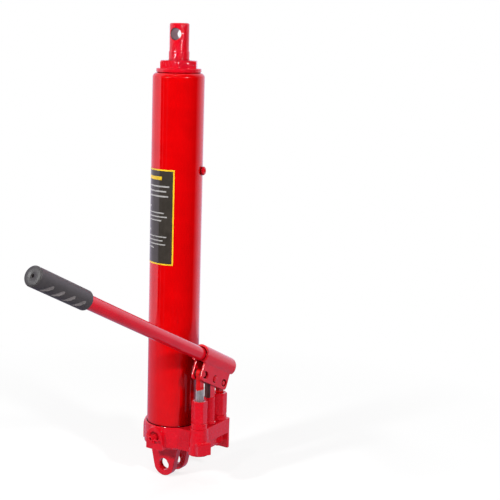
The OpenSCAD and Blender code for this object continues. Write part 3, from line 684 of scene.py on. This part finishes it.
class JACK_OT_reservoir(JackPiece, bpy.types.Operator):
    """Reservoir tube with its rolled shoulder, and the collar on it"""
    bl_idname = "jack.reservoir"
    bl_label = "Reservoir"

    def execute(self, context):
        turn = context.scene.jack_form.turn_segments
        wall, bend_r, foot, mouth_r = 3.0, 7.0, 59.0, 25.5
        bend = TUBE_TOP - bend_r
        quarter = [math.pi / 2 * k / 12 for k in range(13)]

        def shoulder(r, angles):
            return [(TUBE_R - bend_r + r * math.cos(a), bend + r * math.sin(a)) for a in angles]
        side = [(TUBE_R, foot + (bend - foot) * k / 40) for k in range(40)]
        mouth = [(mouth_r, TUBE_TOP), (mouth_r, TUBE_TOP - wall)]
        profile = side + shoulder(bend_r, quarter) + mouth
        profile += shoulder(bend_r - wall, quarter[::-1]) + [(TUBE_R - wall, foot)]
        bm = bmesh.new()
        turned(bm, profile, turn, close=True)
        shell = piece("reservoir_shell", bm, "jack_body", [finish("gloss_paint")],
                      ["reservoir_tube"])
        sharpen(shell, math.radians(50))
        bm = bmesh.new()
        bore, rim_r, low = 23.0, 32.0, TUBE_TOP + 0.1
        rim = [(bore, COLLAR_TOP), (rim_r, COLLAR_TOP), (rim_r, low), (bore, low)]
        turned(bm, fillet(rim, radius=1.9, steps=6) + rim[:1], turn)
        piece("collar_ring", bm, "jack_body", [finish("thick_paint")], ["top_collar"])
        return {"FINISHED"}


# Radius that marks the points of an outline that lie on a hexagon
HEXAGON = 60.0


def hexagon(across_flats, low_cone, high_cone, soft=0.35, turn=0.0):
    """Radius rule of a hexagon whose ends are cut by cones: (height, radius at it, slope) each."""
    flat = across_flats / 2
    corner = flat / math.cos(math.pi / 6) - 0.25

    def shape(r, a, z):
        if r < HEXAGON:
            return r
        side = flat / math.cos((a + turn) % (math.pi / 3) - math.pi / 6)
        cone = min(low_cone[1] + (z - low_cone[0]) * low_cone[2],
                   high_cone[1] + (high_cone[0] - z) * high_cone[2])
        return -soft * math.log(sum(math.exp(-limit / soft) for limit in (side, cone, corner)))
    return shape


class JACK_OT_gland_nut(JackPiece, bpy.types.Operator):
    """Hexagon gland nut with a turned chamfer on its corners"""
    bl_idname = "jack.gland_nut"
    bl_label = "Gland nut"

    def execute(self, context):
        low, high = COLLAR_TOP, GLAND_TOP
        lead, chamfer, rim_r = 0.8, 3.2, 25.1
        bore_r, wiper_r, wiper_depth = 15.4, 18.05, 5.0
        flank = high - low - lead - chamfer
        heights = [low, low + 0.3, low + lead]
        heights += [low + lead + flank * k / 8 for k in range(1, 9)]
        heights += [high - chamfer + chamfer * k / 10 for k in range(1, 11)]
        shape = hexagon(51.0, low_cone=(low, 28.9, 1.2), high_cone=(high, 25.8, 1.55))
        outer = [(HEXAGON, z) for z in heights]
        inner = [(rim_r, high), (wiper_r + 0.35, high), (wiper_r, high - 0.4),
                 (wiper_r, high - wiper_depth), (bore_r, high - wiper_depth), (bore_r, low)]
        bm = bmesh.new()
        turned(bm, outer + inner, 240, shape, close=True)
        nut = piece("gland_hexagon", bm, "jack_body", [finish("thick_paint")],
                    ["gland_nut"])
        sharpen(nut, math.radians(60))
        return {"FINISHED"}


class JACK_OT_filler_plug(JackPiece, bpy.types.Operator):
    """Domed filler plug with a key dimple"""
    bl_idname = "jack.filler_plug"
    bl_label = "Filler plug"

    def execute(self, context):
        head_r, thread_r, thread_end = 6.3, 4.0, -4.5
        dimple = [(0, 2.4), (2.2, 2.5), (2.9, 3.1), (3.3, 4.6)]
        dome = [(4.6, 4.95), (head_r - 0.3, 4.0), (head_r, 3.0), (head_r, 1.0)]
        thread = [(thread_r, 0.9), (thread_r, thread_end), (0, thread_end)]
        bm = bmesh.new()
        turned(bm, fillet(dimple + dome + thread, radius=0.5, steps=3), 64)
        place = (Matrix.Rotation(FILLER_TURN, 4, "Z")
                 @ Matrix.Translation((TUBE_R * MM, 0, FILLER_Z * MM))
                 @ Matrix.Rotation(math.pi / 2, 4, "Y"))
        piece("filler_cap", bm, "jack_body", [finish("thick_paint")],
              ["filler_plug"], place)
        return {"FINISHED"}


class JACK_OT_panel(JackPiece, bpy.types.Operator):
    """Bare panel on the tube: ground, an edge line, a bar and plain rules"""
    bl_idname = "jack.panel"
    bl_label = "Bare panel"

    def execute(self, context):
        low, high = 301.0, 437.0
        start, end = math.radians(-173.5), math.radians(-60.2)
        wide = end - start
        line, ground_lift, print_lift = 2.0, 0.18, 0.22
        line_turn = line / TUBE_R
        ground, edge, rule = range(3)
        bm = bmesh.new()
        self.patch(bm, start, end, low, high, ground_lift, ground)
        self.patch(bm, start, end, low, low + line, print_lift, edge)
        self.patch(bm, start, end, high - line, high, print_lift, edge)
        self.patch(bm, start, start + line_turn, low + line, high - line, print_lift, edge)
        self.patch(bm, end - line_turn, end, low + line, high - line, print_lift, edge)
        # Rows: top above the panel's foot, share of the width where it ends, height, print
        rows = ((126, 0.74, 5.0, edge),
                (113, 0.90, 2.0, rule), (106, 0.84, 2.0, rule), (99, 0.88, 2.0, rule),
                (84, 0.42, 3.0, rule), (75, 0.80, 1.6, rule), (69.5, 0.86, 1.6, rule),
                (64, 0.74, 1.6, rule), (50, 0.42, 3.0, rule), (41, 0.86, 1.6, rule),
                (35.5, 0.78, 1.6, rule), (30, 0.84, 1.6, rule), (24.5, 0.55, 1.6, rule))
        left = start + wide * 0.10
        for up, right, tall, index in rows:
            self.patch(bm, left, start + wide * right, low + up - tall, low + up, print_lift, index)
        panel = piece("bare_panel", bm, "jack_body",
                      [finish("panel_ground"), finish("panel_line"), finish("panel_rule")],
                      ["label_panel"])
        sharpen(panel, math.radians(40))
        return {"FINISHED"}

    def patch(self, bm, a0, a1, z0, z1, lift, index):
        """Thin curved plate on the tube, between two angles and two heights."""
        cols = max(2, int((a1 - a0) / math.radians(1.5)))
        angles = [a0 + (a1 - a0) * i / cols for i in range(cols + 1)]
        under_lift = 0.01
        top, under = ([[bm.verts.new((r * math.cos(a), r * math.sin(a), z * MM)) for a in angles]
                       for z in (z0, z1)]
                      for r in ((TUBE_R + lift) * MM, (TUBE_R + under_lift) * MM))
        for i in range(cols):
            quads = ((top[0][i], top[0][i + 1], top[1][i + 1], top[1][i]),
                     (under[1][i], under[1][i + 1], under[0][i + 1], under[0][i]),
                     (top[1][i], top[1][i + 1], under[1][i + 1], under[1][i]),
                     (under[0][i], under[0][i + 1], top[0][i + 1], top[0][i]))
            for quad in quads:
                bm.faces.new(quad).material_index = index
        for i in (0, cols):
            bm.faces.new((top[0][i], top[1][i], under[1][i], under[0][i])).material_index = index


class JACK_OT_ram_tip(JackPiece, bpy.types.Operator):
    """Ram end with rounded edges and a bare pin hole"""
    bl_idname = "jack.ram_tip"
    bl_label = "Ram tip"

    def execute(self, context):
        skin = soft_skin("ram_tip", voxel=0.0005, rounds=6)
        tip = dress("ram_end", skin, "ram", [finish("thick_paint"), finish("bare_bore")],
                    ["ram_tip"])
        bore_r = 8.45 * MM
        for face in tip.data.polygons:
            c = face.center
            across = c.x * math.cos(TIP_TURN) + c.y * math.sin(TIP_TURN)
            if math.hypot(across, c.z - TIP_HOLE_Z * MM) < bore_r:
                face.material_index = 1
        return {"FINISHED"}


class JACK_OT_pumps(JackPiece, bpy.types.Operator):
    """Two hexagon pump bodies on round feet, and the post between them"""
    bl_idname = "jack.pumps"
    bl_label = "Pumps"

    def execute(self, context):
        low, high = 78.3, PUMP_TOP
        lead, chamfer = 4.2, 2.4
        foot_r, plunger_r, stem_r, stem_low = 11.6, 6.06, 8.4, 54.3
        heights = [low, low + 0.5, low + 1.2, low + 2.0, low + 3.0, low + lead]
        heights += [low + lead + (high - low - lead - chamfer) * k / 6 for k in range(1, 7)]
        heights += [high - chamfer + chamfer * k / 8 for k in range(1, 9)]
        foot = [(stem_r + 0.2, PUMP_SEAT_Z + 0.05), (foot_r + 0.3, PUMP_SEAT_Z + 0.05),
                (foot_r, PUMP_SEAT_Z + 1.0), (foot_r, low - 0.5), (foot_r - 1.0, low)]
        mouth = [(9.6, high), (7.0, high), (6.2, high - 0.9), (plunger_r, high - 2.0),
                 (plunger_r, stem_low), (stem_r, stem_low), (stem_r, PUMP_SEAT_Z)]
        profile = fillet(foot, radius=0.5, steps=3) + [(HEXAGON, z) for z in heights] + mouth
        shape = hexagon(20.5, low_cone=(low, 10.3, 0.65), high_cone=(high, 10.3, 1.1), soft=0.2,
                        turn=math.pi / 6)
        for label, side in (("front", -1), ("rear", 1)):
            bm = bmesh.new()
            turned(bm, profile, 168, shape, close=True)
            pump = piece(label + "_pump_hexagon", bm, "jack_body",
                         [finish("thick_paint")], [label + "_pump_body"],
                         Matrix.Translation((PUMP_X * MM, side * PUMP_PITCH * MM, 0)))
            sharpen(pump, math.radians(50))
        skin = soft_skin("fulcrum_post", voxel=0.0005, rounds=5)
        post = dress("pivot_post", skin, "jack_body",
                     [finish("thick_paint"), finish("bare_bore")], ["fulcrum_post"])
        # The flank towards the front plunger is bare steel above the pump bodies; its dark brown also
        # stands for the deep shade there (painted shade)
        for face in post.data.polygons:
            if face.center.z > high * MM and face.normal.y < -0.3:
                face.material_index = 1
        return {"FINISHED"}


class JACK_OT_socket(JackPiece, bpy.types.Operator):
    """Handle socket of rolled sheet with dulled edges"""
    bl_idname = "jack.socket"
    bl_label = "Handle socket"

    def execute(self, context):
        skin = soft_skin("handle_socket", voxel=0.0006, rounds=7, lump=0.00006, grain=160.0)
        dress("rolled_socket", skin, "rocker", [finish("socket_paint")], ["handle_socket"])
        return {"FINISHED"}


def pin_profile(r, back, out, neck):
    """Outline of a socket pin with a crowned outer end of its own radius."""
    crown, neck_z = 0.7, 5.8
    return [(0, out), (neck - 1.6, out - 0.05), (neck - crown, out - 0.25),
            (neck - 0.15, out - crown - 0.1), (neck, out - crown - 0.6), (neck, neck_z),
            (r, neck_z - 0.2), (r, back + 1.0), (r - 0.8, back), (0, back)]


class JACK_OT_pins(JackPiece, bpy.types.Operator):
    """Pins across the socket, with washers inside the cheeks and split pins in their inner ends"""
    bl_idname = "jack.pins"
    bl_label = "Socket pins"

    def execute(self, context):
        # Pins: radius, inner end, outer end, radius of the outer end
        fulcrum, plunger = (5.0, -14.0, 10.8, 4.3), (4.0, -14.0, 7.6, 4.0)
        washers = ((-5.1, -3.6), (3.6, 5.1))
        at = Matrix.Translation((PUMP_X * MM, 0, FULCRUM_Z * MM))
        self.pin("fulcrum", at, "jack_body", "paint_red", "socket_paint", fulcrum, "fulcrum_pin")
        self.split_pin("fulcrum", at, "jack_body", fulcrum[0], "fulcrum_pin_cotter")
        for label, side in (("front", -1), ("rear", 1)):
            body = label + "_plunger_set"
            at = Matrix.Translation((PUMP_X * MM, side * PUMP_PITCH * MM,
                                     (FULCRUM_Z - side * PIN_RISE) * MM))
            self.pin(label, at, body, "bright_steel", "oiled_steel", plunger,
                     label + "_plunger_pin", washers)
            self.split_pin(label, at, body, plunger[0], label + "_pin_cotter")
        return {"FINISHED"}

    def pin(self, label, at, body, slot, look, sizes, node, washers=()):
        """Turned pin, with washers between given depths; a pin with washers has a painted end."""
        r, back, out, neck = sizes
        paint_depth, washer_r, play = 0.8, 7.0, 0.1
        bm = bmesh.new()
        turned(bm, pin_profile(r, back, out, neck), 64)
        for face in bm.faces:
            if washers and face.calc_center_median().z > (out - paint_depth) * MM:
                face.material_index = 1
        for near, far in washers:
            washer = [(r + play, near), (washer_r, near), (washer_r, far), (r + play, far)]
            turned(bm, washer, 64, close=True)
        pin = piece(label + "_cross_pin", bm, body, [finish(look), finish("socket_paint")], [node],
                    at @ Matrix.Rotation(math.pi / 2, 4, "Y"))
        sharpen(pin, math.radians(40))

    def split_pin(self, label, at, body, r, node):
        """Split pin through a pin of radius r: an eye on top and two legs that spread below."""
        eye_r, wire_r, gap, depth = 2.2, 0.45, 0.35, -11.6
        eye_z = r + 1.1 + eye_r
        eye = [(0, eye_r * math.sin(t), eye_z - eye_r * math.cos(t))
               for t in (gap + (2 * math.pi - 2 * gap) * k / 20 for k in range(21))]
        leg = [(0.42, r + 0.6), (0.42, -r - 0.4), (0.8, -r - 1.4), (1.9, -r - 2.6), (3.0, -r - 3.2)]
        legs = [[(0, sign * y, z) for y, z in leg] for sign in (1, -1)]
        bm = bmesh.new()
        tube_along(bm, legs[0][::-1] + eye + legs[1], wire_r, 10)
        piece(label + "_split_pin", bm, body, [finish("bright_steel")], [node],
              at @ Matrix.Translation((depth * MM, 0, 0)))


class JACK_OT_handle(JackPiece, bpy.types.Operator):
    """Handle tube and its rubber grip with finger grooves"""
    bl_idname = "jack.handle"
    bl_label = "Handle"

    def execute(self, context):
        self.bar()
        self.grip(context.scene.jack_form.groove_depth / MM)
        return {"FINISHED"}

    def bar(self):
        """Steel tube from its butt in the socket to just short of the grip's end."""
        butt, end, tube_r, bore_r = -36.0, 429.6, 9.5, 7.5
        length = end - butt - 0.6
        wall = [(tube_r, butt + 0.6 + length * k / 40) for k in range(41)]
        mouth = [(bore_r + 0.5, butt), (tube_r - 0.4, butt)]
        bore = [(bore_r, end + 0.2), (bore_r, butt + 0.5)]
        bm = bmesh.new()
        turned(bm, mouth + wall + bore, 96, close=True)
        tube = piece("handle_bar", bm, "handle", [finish("handle_paint")],
                     ["handle_tube"], HANDLE_FRAME)
        sharpen(tube, math.radians(50))

    def grooves(self, offset, end):
        """A point on the axis and the direction of the round cutter of each finger groove."""
        pitch, lean = 21.5, math.radians(40)
        cutters = []
        for k in range(1, 5):
            for turn in (math.radians(-45), math.radians(-135)):
                away = Vector((math.cos(turn), math.sin(turn), 0))
                rise = Vector((0, 1, 0)) - away * away.y
                run = rise.normalized() * math.cos(lean) - Vector((0, 0, 1)) * math.sin(lean)
                cutters.append((away * offset + Vector((0, 0, end - pitch * k)), run))
        return cutters

    def grip(self, groove_depth):
        """Rubber grip with a rolled end, a vent hole and slanting finger grooves underneath."""
        mouth, end, grip_r, groove_r = 327.0, 435.0, 13.1, 3.6
        cutters = self.grooves(grip_r + groove_r - groove_depth, end)
        half_span, deepest = 14, 0.8

        def grooved(r, a, z):
            """Radius of the grip where the cutters have been: the nearest cut along the ray."""
            if r < grip_r - 0.01:
                return r
            out = Vector((math.cos(a), math.sin(a), 0))
            best = r
            for centre, run in cutters:
                back = Vector((0, 0, z)) - centre
                if abs(back.z) > half_span or out.dot(centre) < 0:
                    continue
                u, w = out - run * out.dot(run), back - run * back.dot(run)
                half, square = u.dot(w), u.dot(u)
                root = half * half - square * (w.dot(w) - groove_r ** 2)
                if root > 0:
                    best = min(best, max((-half - math.sqrt(root)) / square, deepest * r))
            return best
        nose = [(8.0, mouth + 6.0), (9.7, mouth + 0.2), (10.3, mouth), (10.9, mouth + 0.4)]
        body = [(grip_r, mouth + 3.2 + (end - 5.0 - mouth) * k / 230) for k in range(231)]
        roll = [(12.8, end - 1.3), (12.4, end - 0.85), (11.8, end - 0.3), (11.2, end)]
        vent = [(2.6, end), (2.2, end - 0.3), (2.0, end - 1.0), (2.0, end - 4.0), (0, end - 4.0)]
        bm = bmesh.new()
        turned(bm, nose + body + roll + vent, 128, grooved)
        groove_lit_index, end_shade = 1, 2
        for face in bm.faces:
            centre = face.calc_center_median() / MM
            # Painted shade: the end face takes the darker rubber
            if centre.z > end - 0.2:
                face.material_index = end_shade
            # Painted highlight: faces inside the finger grooves take the lighter rubber
            elif mouth + 6 < centre.z < end - 2 and math.hypot(*centre.xy) < grip_r - 0.12:
                face.material_index = groove_lit_index
        grip = piece("hand_grip", bm, "handle",
                     [finish("grip_rubber"), finish("lit_groove_rubber"), finish("shaded_end_rubber")],
                     ["handle_grip"], HANDLE_FRAME)
        sharpen(grip, math.radians(55))


class JACK_OT_release_valve(JackPiece, bpy.types.Operator):
    """Release valve spindle with a dished end, and its cross pin"""
    bl_idname = "jack.release_valve"
    bl_label = "Release valve"

    def execute(self, context):
        place = (Matrix.Translation((0, 0, VALVE_Z * MM)) @ Matrix.Rotation(math.pi / 2, 4, "X"))
        head_r, body_r, nose_r = 4.0, 4.9, 2.5
        dish = [(0, 51.8), (1.7, 51.9), (1.9, 54.5), (3.0, 54.95), (3.7, 54.6)]
        stem = [(head_r, 53.8), (head_r, 43.0), (body_r, 42.4), (body_r, 34.0)]
        nose = [(nose_r, 33.6), (nose_r, 32.5), (0, 32.5)]
        bm = bmesh.new()
        turned(bm, fillet(dish + stem + nose, radius=0.3, steps=3), 64)
        piece("release_spindle", bm, "release_valve", [finish("thick_paint")],
              ["release_valve_screw"], place)
        tilt, half, pin_r, pin_y = math.radians(13), 10.0, 1.5, -51.0
        path = [(math.cos(tilt) * half * s, pin_y, VALVE_Z - math.sin(tilt) * half * s)
                for s in (-1.0, -0.5, 0.0, 0.5, 1.0)]
        bm = bmesh.new()
        tube_along(bm, path, pin_r, 20)
        piece("release_tommy_pin", bm, "release_valve", [finish("thick_paint")],
              ["release_valve_cross_pin"])
        return {"FINISHED"}


def coil(bm, length, mean, wire, turns):
    """Coil spring in mm along Z from its mean and wire radius, with its end turns wound closer."""
    steps_a_turn, closer = 18, 0.04
    count = int(turns * steps_a_turn)
    path = []
    for k in range(count + 1):
        t = k / count
        a = 2 * math.pi * turns * t
        climb = t - closer * math.sin(2 * math.pi * t)
        path.append((mean * math.cos(a), mean * math.sin(a), wire + (length - 2 * wire) * climb))
    tube_along(bm, path, wire, 8)


class JACK_OT_springs(JackPiece, bpy.types.Operator):
    """Coil springs behind the valve balls; those of the suction valves each get a mesh of their own"""
    bl_idname = "jack.springs"
    bl_label = "Valve springs"

    def execute(self, context):
        for label, side in (("front", -1), ("rear", 1)):
            foot = Vector((SUCTION_X, side * PUMP_PITCH, SUCTION_PLUG_Z)) * MM
            bm = bmesh.new()
            coil(bm, length=8.05, mean=2.85, wire=0.42, turns=5)
            spring = piece(label + "_suction_coil", bm, "jack_body",
                           [finish("dark_steel")], [label + "_suction_spring"], Matrix.Translation(foot))
            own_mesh(spring)
        bm = bmesh.new()
        coil(bm, length=6.3, mean=2.7, wire=0.55, turns=3.5)
        place = (Matrix.Translation((SAFETY_PLUG_X * MM, 0, VALVE_Z * MM))
                 @ Matrix.Rotation(math.pi / 2, 4, "Y"))
        piece("safety_coil", bm, "jack_body", [finish("dark_steel")],
              ["safety_spring"], place)
        return {"FINISHED"}


KEPT = {
    "plunger_steel": ("front_plunger", "rear_plunger"),
    "bright_steel": ("ram_piston", "pressure_cylinder", "front_suction_ball", "rear_suction_ball",
                     "front_discharge_ball", "rear_discharge_ball", "safety_ball", "release_ball"),
    "ram_chrome": ("ram_rod",),
    "dark_steel": ("suction_plugs", "discharge_ball_stops", "safety_plug", "piston_nut"),
    "bronze": ("cylinder_seal_washer", "ram_guide_bush", "pump_body_washers", "piston_wear_ring"),
    "seal_rubber": ("base_gasket", "collar_o_ring", "rod_seal", "rod_wiper", "filler_plug_washer",
                    "pump_rod_seals", "piston_cup_seal", "release_valve_o_ring"),
}


class JACK_OT_inner_parts(JackPiece, bpy.types.Operator):
    """Finishes of the pieces that keep their CAD shape"""
    bl_idname = "jack.inner_parts"
    bl_label = "Inner parts"

    def execute(self, context):
        for look, names in KEPT.items():
            for name in names:
                slots = NODES[name].data.materials
                if not len(slots):
                    slots.append(finish(look))
                for i in range(len(slots)):
                    slots[i] = finish(look)
        return {"FINISHED"}


class JACK_OT_stage(JackPiece, bpy.types.Operator):
    """Pale floor, soft studio light and the camera"""
    bl_idname = "jack.stage"
    bl_label = "Stage"

    def execute(self, context):
        stage = context.scene.jack_stage
        self.floor(context, stage)
        self.world(context, stage)
        self.lights(context, stage)
        self.camera(context, stage)
        context.scene.view_settings.view_transform = "Standard"
        return {"FINISHED"}

    def dark_side(self, stage):
        """Direction of the dark part of the room, where the camera stands."""
        return Vector((math.sin(stage.turn), -math.cos(stage.turn), 0.0))

    def right_side(self, stage):
        """Direction to the right of the picture."""
        return Vector((math.cos(stage.turn), math.sin(stage.turn), 0.0))

    def floor(self, context, stage):
        """White sheet that fades into the white room; in gloss it is dimmer towards the front."""
        low = CAD_BOX[0][2] - 0.0005
        bm = bmesh.new()
        bm.faces.new([bm.verts.new((x * FLOOR_HALF, y * FLOOR_HALF, low))
                      for x, y in ((-1, -1), (1, -1), (1, 1), (-1, 1))])
        mesh = bpy.data.meshes.new("floor")
        bm.to_mesh(mesh)
        bm.free()
        floor = bpy.data.objects.new("floor", mesh)
        context.scene.collection.objects.link(floor)
        mat = bpy.data.materials.new("pale_floor")
        mat.use_nodes = True
        net = Net(mat.node_tree)
        out = net.add("ShaderNodeOutputMaterial")
        path = net.add("ShaderNodeLightPath").outputs
        where = net.add("ShaderNodeTexCoord").outputs["Object"]
        # What lights the jack from below, and what the camera sees near the jack and far from it
        bounce = net.add("ShaderNodeBsdfDiffuse", Color=rgba(stage.floor, 0.60))
        dull = net.add("ShaderNodeBsdfDiffuse", Color=rgba(stage.floor, 0.30))
        glow = net.add("ShaderNodeEmission", Color=(1, 1, 1, 1), Strength=0.75)
        near = net.add("ShaderNodeAddShader")
        net.feed(near.inputs[0], dull.outputs["BSDF"])
        net.feed(near.inputs[1], glow.outputs["Emission"])
        far = net.add("ShaderNodeEmission", Color=(1, 1, 1, 1), Strength=1.0)
        away = net.add("ShaderNodeVectorMath", {"operation": "LENGTH"})
        net.feed(away.inputs[0], where)
        sheet = net.blend(net.ramp(away.outputs["Value"], 0.25, 0.75),
                          near.outputs["Shader"], far.outputs["Emission"])
        # What the gloss shows of the floor
        front = net.dot(where, self.dark_side(stage))
        dim = net.math("MULTIPLY", net.ramp(front, -0.05, 0.15, 0.5, 0.28),
                       net.ramp(front, 0.30, 0.75, 1.0, 0.08))
        pale = net.add("ShaderNodeEmission", Color=(0.95, 0.85, 1.25, 1), Strength=dim)
        shiny = net.math("MAXIMUM", path["Is Glossy Ray"], path["Is Transmission Ray"])
        unseen = net.blend(shiny, bounce.outputs["BSDF"], pale.outputs["Emission"])
        net.feed(out.inputs["Surface"], net.blend(path["Is Camera Ray"], unseen, sheet))
        mesh.materials.append(mat)

    def world(self, context, stage):
        """White all round for the picture; in gloss the room in front of the jack is dark."""
        world = bpy.data.worlds.new("studio")
        context.scene.world = world
        world.use_nodes = True
        net = Net(world.node_tree)
        out = net.add("ShaderNodeOutputWorld")
        path = net.add("ShaderNodeLightPath").outputs
        where = net.add("ShaderNodeTexCoord").outputs["Generated"]
        height = net.add("ShaderNodeSeparateXYZ", Vector=where).outputs["Z"]
        front = net.dot(where, self.dark_side(stage))
        right = net.math("ARCTAN2", net.dot(where, self.right_side(stage)), front)
        left = net.math("MULTIPLY", right, -1.0)
        deg = math.radians
        # Walls at the left and the right, and two dim upright strips at the left
        room = net.math("MULTIPLY", net.ramp(left, deg(81), deg(84), 0.02, 1.4),
                        net.ramp(left, deg(84), deg(115), 1.0, 0.72))
        room = net.math("MAXIMUM", room, net.ramp(right, deg(86), deg(122), 0.0, 1.15))
        for at, level in ((68.7, 0.22), (48.8, 0.12)):
            off = net.math("ABSOLUTE", net.math("SUBTRACT", left, deg(at)))
            room = net.math("MAXIMUM", room, net.ramp(off, deg(1.5), deg(3.0), level, 0.0))
        room = net.math("MULTIPLY", room, net.ramp(height, 0.35, 0.9, 1.0, 0.55))
        # Soft fill for what isn't gloss, stronger from above and from behind
        soft = net.math("MULTIPLY", net.ramp(height, -0.2, 1.0, 0.6, 1.7),
                        net.ramp(front, -0.6, -0.1, stage.back_fill, stage.fill))
        shiny = net.math("MAXIMUM", path["Is Glossy Ray"], path["Is Transmission Ray"])
        level = net.math("ADD", net.math("MULTIPLY", shiny, room),
                         net.math("MULTIPLY", net.math("SUBTRACT", 1.0, shiny), soft))
        level = net.math("MAXIMUM", level, path["Is Camera Ray"])
        tint = net.mix(path["Is Glossy Ray"], (1, 1, 1, 1), (0.98, 0.90, 1.12, 1))
        back = net.add("ShaderNodeBackground", Color=tint, Strength=level)
        net.feed(out.inputs["Surface"], back.outputs["Background"])

    def lights(self, context, stage):
        across, toward = self.right_side(stage), self.dark_side(stage)
        aim = Vector((0, 0, 0.35))
        # Lamps: place to the right, to the front and up, size, power
        rig = (("key_left", -1.15, 0.96, 1.00, 0.18, stage.left_power),
               ("key_right", 0.86, 1.23, 1.00, 0.18, stage.right_power),
               ("glint", -0.35, 0.95, 1.90, 0.10, stage.glint_power))
        for name, side, forward, up, size, power in rig:
            lamp = bpy.data.lights.new(name, "AREA")
            lamp.shape = "DISK"
            lamp.size = size
            lamp.energy = power
            obj = bpy.data.objects.new(name, lamp)
            obj.location = across * side + toward * forward + Vector((0, 0, up))
            obj.rotation_euler = (aim - obj.location).to_track_quat("-Z", "Y").to_euler()
            context.scene.collection.objects.link(obj)

    def camera(self, context, stage):
        cam = bpy.data.cameras.new("camera")
        cam.lens = stage.lens
        cam.sensor_width = 36.0
        cam.shift_x, cam.shift_y = stage.shift
        cam.clip_start = 0.05
        obj = bpy.data.objects.new("camera", cam)
        turn = Matrix.Rotation(stage.turn, 4, "Z")
        tip = Matrix.Rotation(math.pi / 2 - stage.pitch, 4, "X")
        roll = Matrix.Rotation(stage.roll, 4, "Z")
        obj.matrix_world = Matrix.Translation(stage.eye) @ turn @ tip @ roll
        context.scene.collection.objects.link(obj)
        context.scene.camera = obj


STEPS = (JACK_OT_cast_base, JACK_OT_reservoir, JACK_OT_gland_nut, JACK_OT_filler_plug, JACK_OT_panel,
         JACK_OT_ram_tip, JACK_OT_pumps, JACK_OT_socket, JACK_OT_pins, JACK_OT_handle,
         JACK_OT_release_valve, JACK_OT_springs, JACK_OT_inner_parts, JACK_OT_stage)


class JACK_PT_dresser(bpy.types.Panel):
    """Lists the pieces and the values of the jack"""
    bl_idname = "JACK_PT_dresser"
    bl_label = "Long-Ram Jack"
    bl_space_type = "VIEW_3D"
    bl_region_type = "UI"
    bl_category = "Jack"

    def draw(self, context):
        for title, values in (("Finish", context.scene.jack_finish), ("Form", context.scene.jack_form),
                              ("Stage", context.scene.jack_stage)):
            box = self.layout.box()
            box.label(text=title)
            for key in values.__annotations__:
                box.prop(values, key)
        for step in STEPS:
            self.layout.operator(step.bl_idname)


VALUES = (("jack_finish", JackFinish), ("jack_form", JackForm), ("jack_stage", JackStage))


def register():
    for name, kind in VALUES:
        bpy.utils.register_class(kind)
        setattr(bpy.types.Scene, name, PointerProperty(type=kind))
    for kind in STEPS + (JACK_PT_dresser,):
        bpy.utils.register_class(kind)


def unregister():
    for kind in reversed(STEPS + (JACK_PT_dresser,)):
        bpy.utils.unregister_class(kind)
    for name, kind in reversed(VALUES):
        delattr(bpy.types.Scene, name)
        bpy.utils.unregister_class(kind)


def main():
    register()
    for step in STEPS:
        area, action = step.bl_idname.split(".")
        getattr(getattr(bpy.ops, area), action)()


if __name__ == "__main__":
    main()
